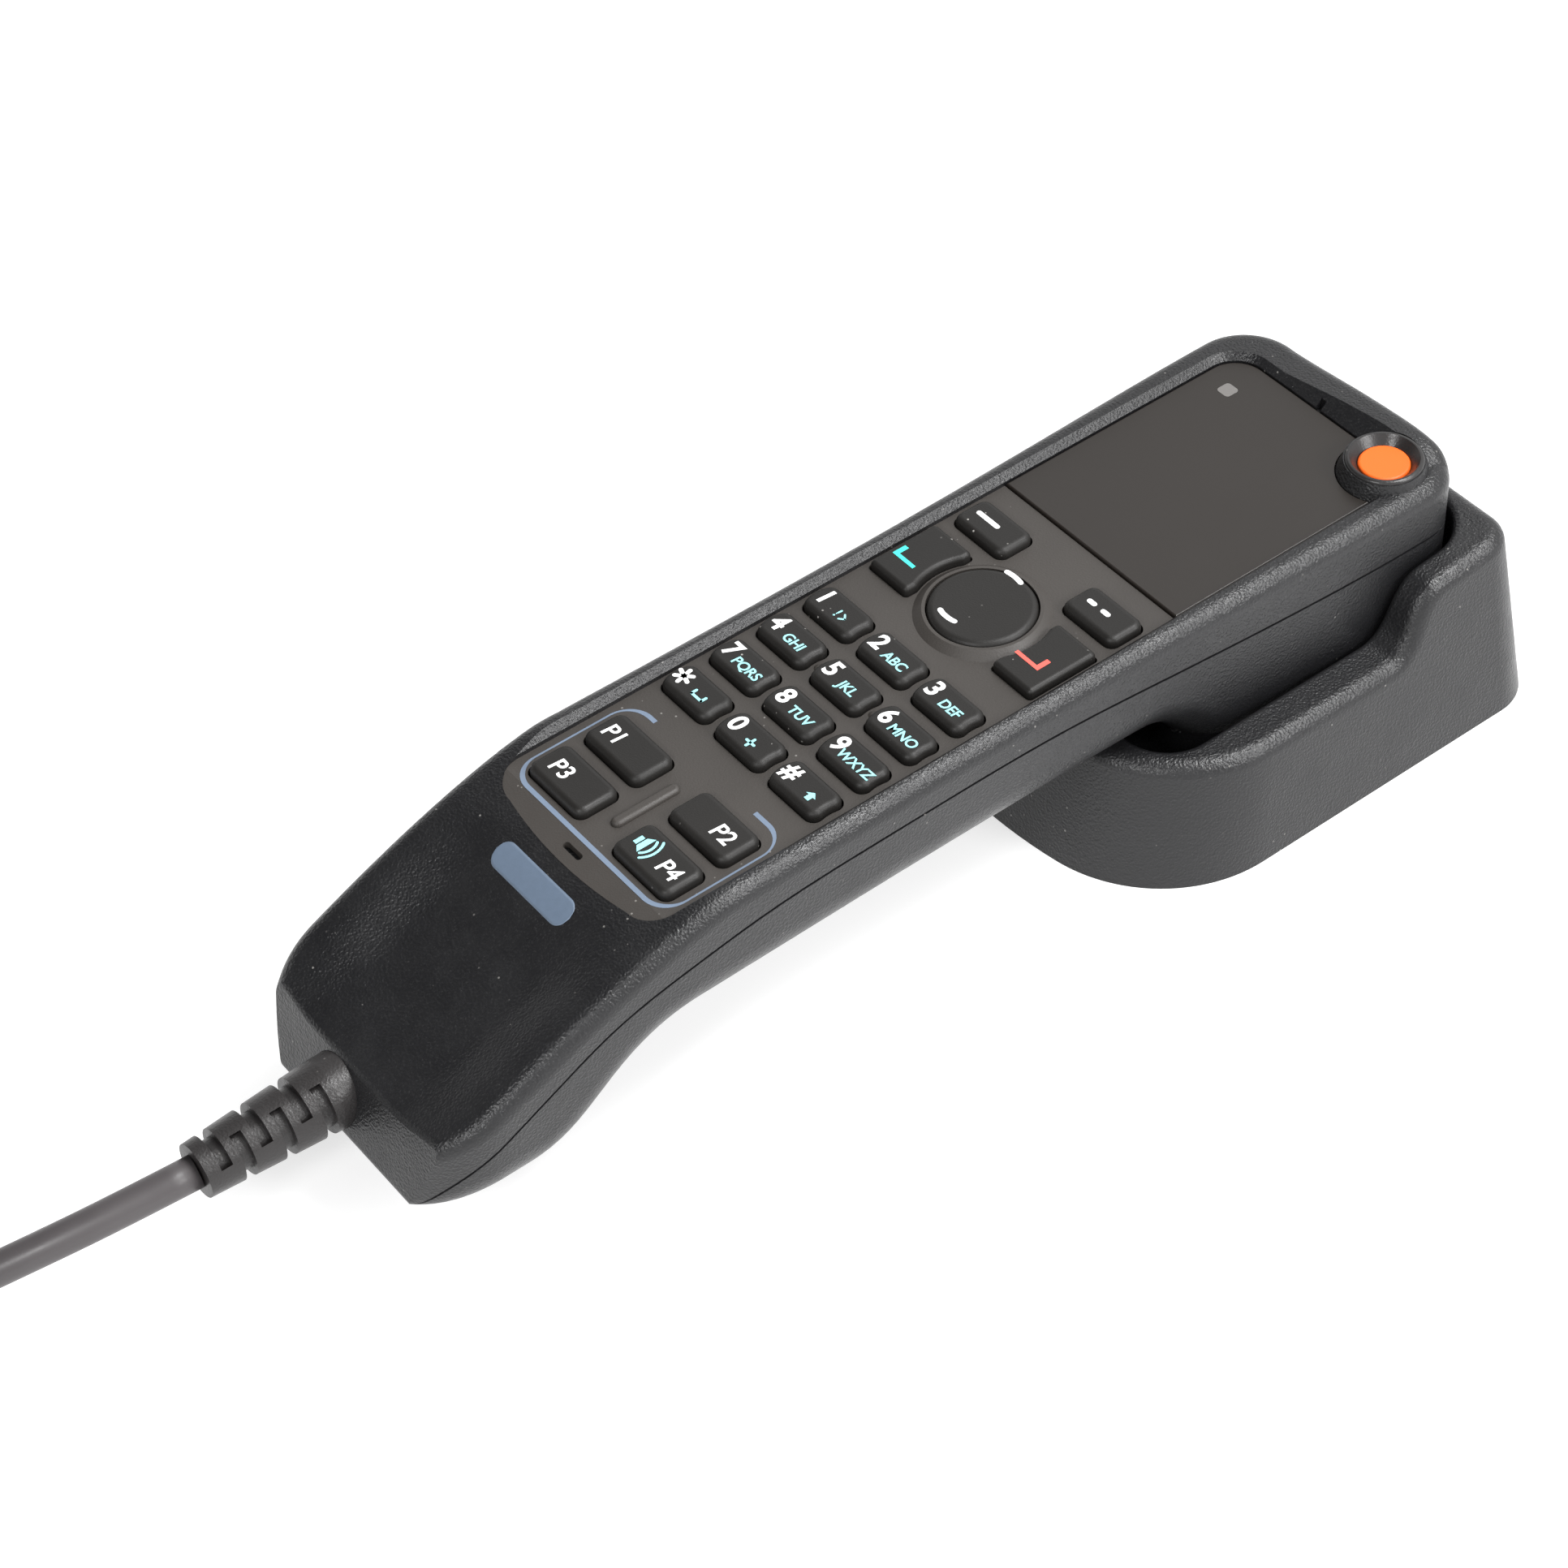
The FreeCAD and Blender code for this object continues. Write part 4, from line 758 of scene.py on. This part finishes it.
def make_world():
    """White studio with one dark side: the side that the flat tops mirror towards the camera."""
    world = bpy.data.worlds.new("studio")
    world.use_nodes = True
    tree = world.node_tree
    place = tree.nodes.new("ShaderNodeTexCoord")
    split = tree.nodes.new("ShaderNodeSeparateXYZ")
    towards = tree.nodes.new("ShaderNodeVectorMath")
    towards.operation = "DOT_PRODUCT"
    towards.inputs[1].default_value = DARK_SIDE
    ramp = tree.nodes.new("ShaderNodeValToRGB")
    stops = ramp.color_ramp.elements
    stops[0].position, stops[1].position = DARK_RAMP[0][0], DARK_RAMP[-1][0]
    for where, _ in DARK_RAMP[1:-1]:
        stops.new(where)
    for stop, (_, level) in zip(stops, DARK_RAMP):
        stop.color = (level, level, level, 1.0)
    high = tree.nodes.new("ShaderNodeMapRange")
    high.inputs["From Min"].default_value = DARK_ABOVE[0]
    high.inputs["From Max"].default_value = DARK_ABOVE[1]
    mix = tree.nodes.new("ShaderNodeMix")
    mix.data_type = "RGBA"
    mix.inputs[6].default_value = (1.0, 1.0, 1.0, 1.0)
    back = tree.nodes["Background"]
    back.inputs["Strength"].default_value = 1.0
    tree.links.new(place.outputs["Generated"], towards.inputs[0])
    tree.links.new(place.outputs["Generated"], split.inputs["Vector"])
    tree.links.new(towards.outputs["Value"], ramp.inputs["Fac"])
    tree.links.new(split.outputs["Z"], high.inputs["Value"])
    tree.links.new(high.outputs["Result"], mix.inputs["Factor"])
    tree.links.new(ramp.outputs["Color"], mix.inputs[7])
    tree.links.new(mix.outputs[2], back.inputs["Color"])
    bpy.context.scene.world = world


def area_light(name, location, target, size, power):
    light = bpy.data.lights.new(name, "AREA")
    light.shape = "RECTANGLE"
    light.size, light.size_y = size
    light.energy = power
    obj = bpy.data.objects.new(name, light)
    obj.location = location
    obj.rotation_euler = (Vector(target) - Vector(location)).to_track_quat("-Z", "Y").to_euler()
    bpy.context.scene.collection.objects.link(obj)


def make_lights():
    area_light("edge_light", (0.40, -0.25, 0.95), AIM, (0.55, 0.16), 9)
    area_light("side_light", (0.45, -0.85, 0.65), AIM, (0.45, 0.30), 6)
    area_light("rim_light", (-0.62, -0.30, 0.58), (-0.02, 0, 0.05), (0.16, 0.16), 3)


# ---------------------------------------------------------------- main

def main():
    scene = bpy.context.scene
    scene.view_settings.view_transform = "Standard"
    make_camera()
    m = make_materials()
    cord, line = make_cord(m["cable"])
    dress_nodes(m)
    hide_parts("cord_lead", "cord_coil", "cord_tail")
    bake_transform(cord)
    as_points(line)
    print_digits(m)
    print_programmable(m)
    print_others(m)
    frame_line(m)
    badge(m)
    make_stage()
    make_world()
    make_lights()


main()
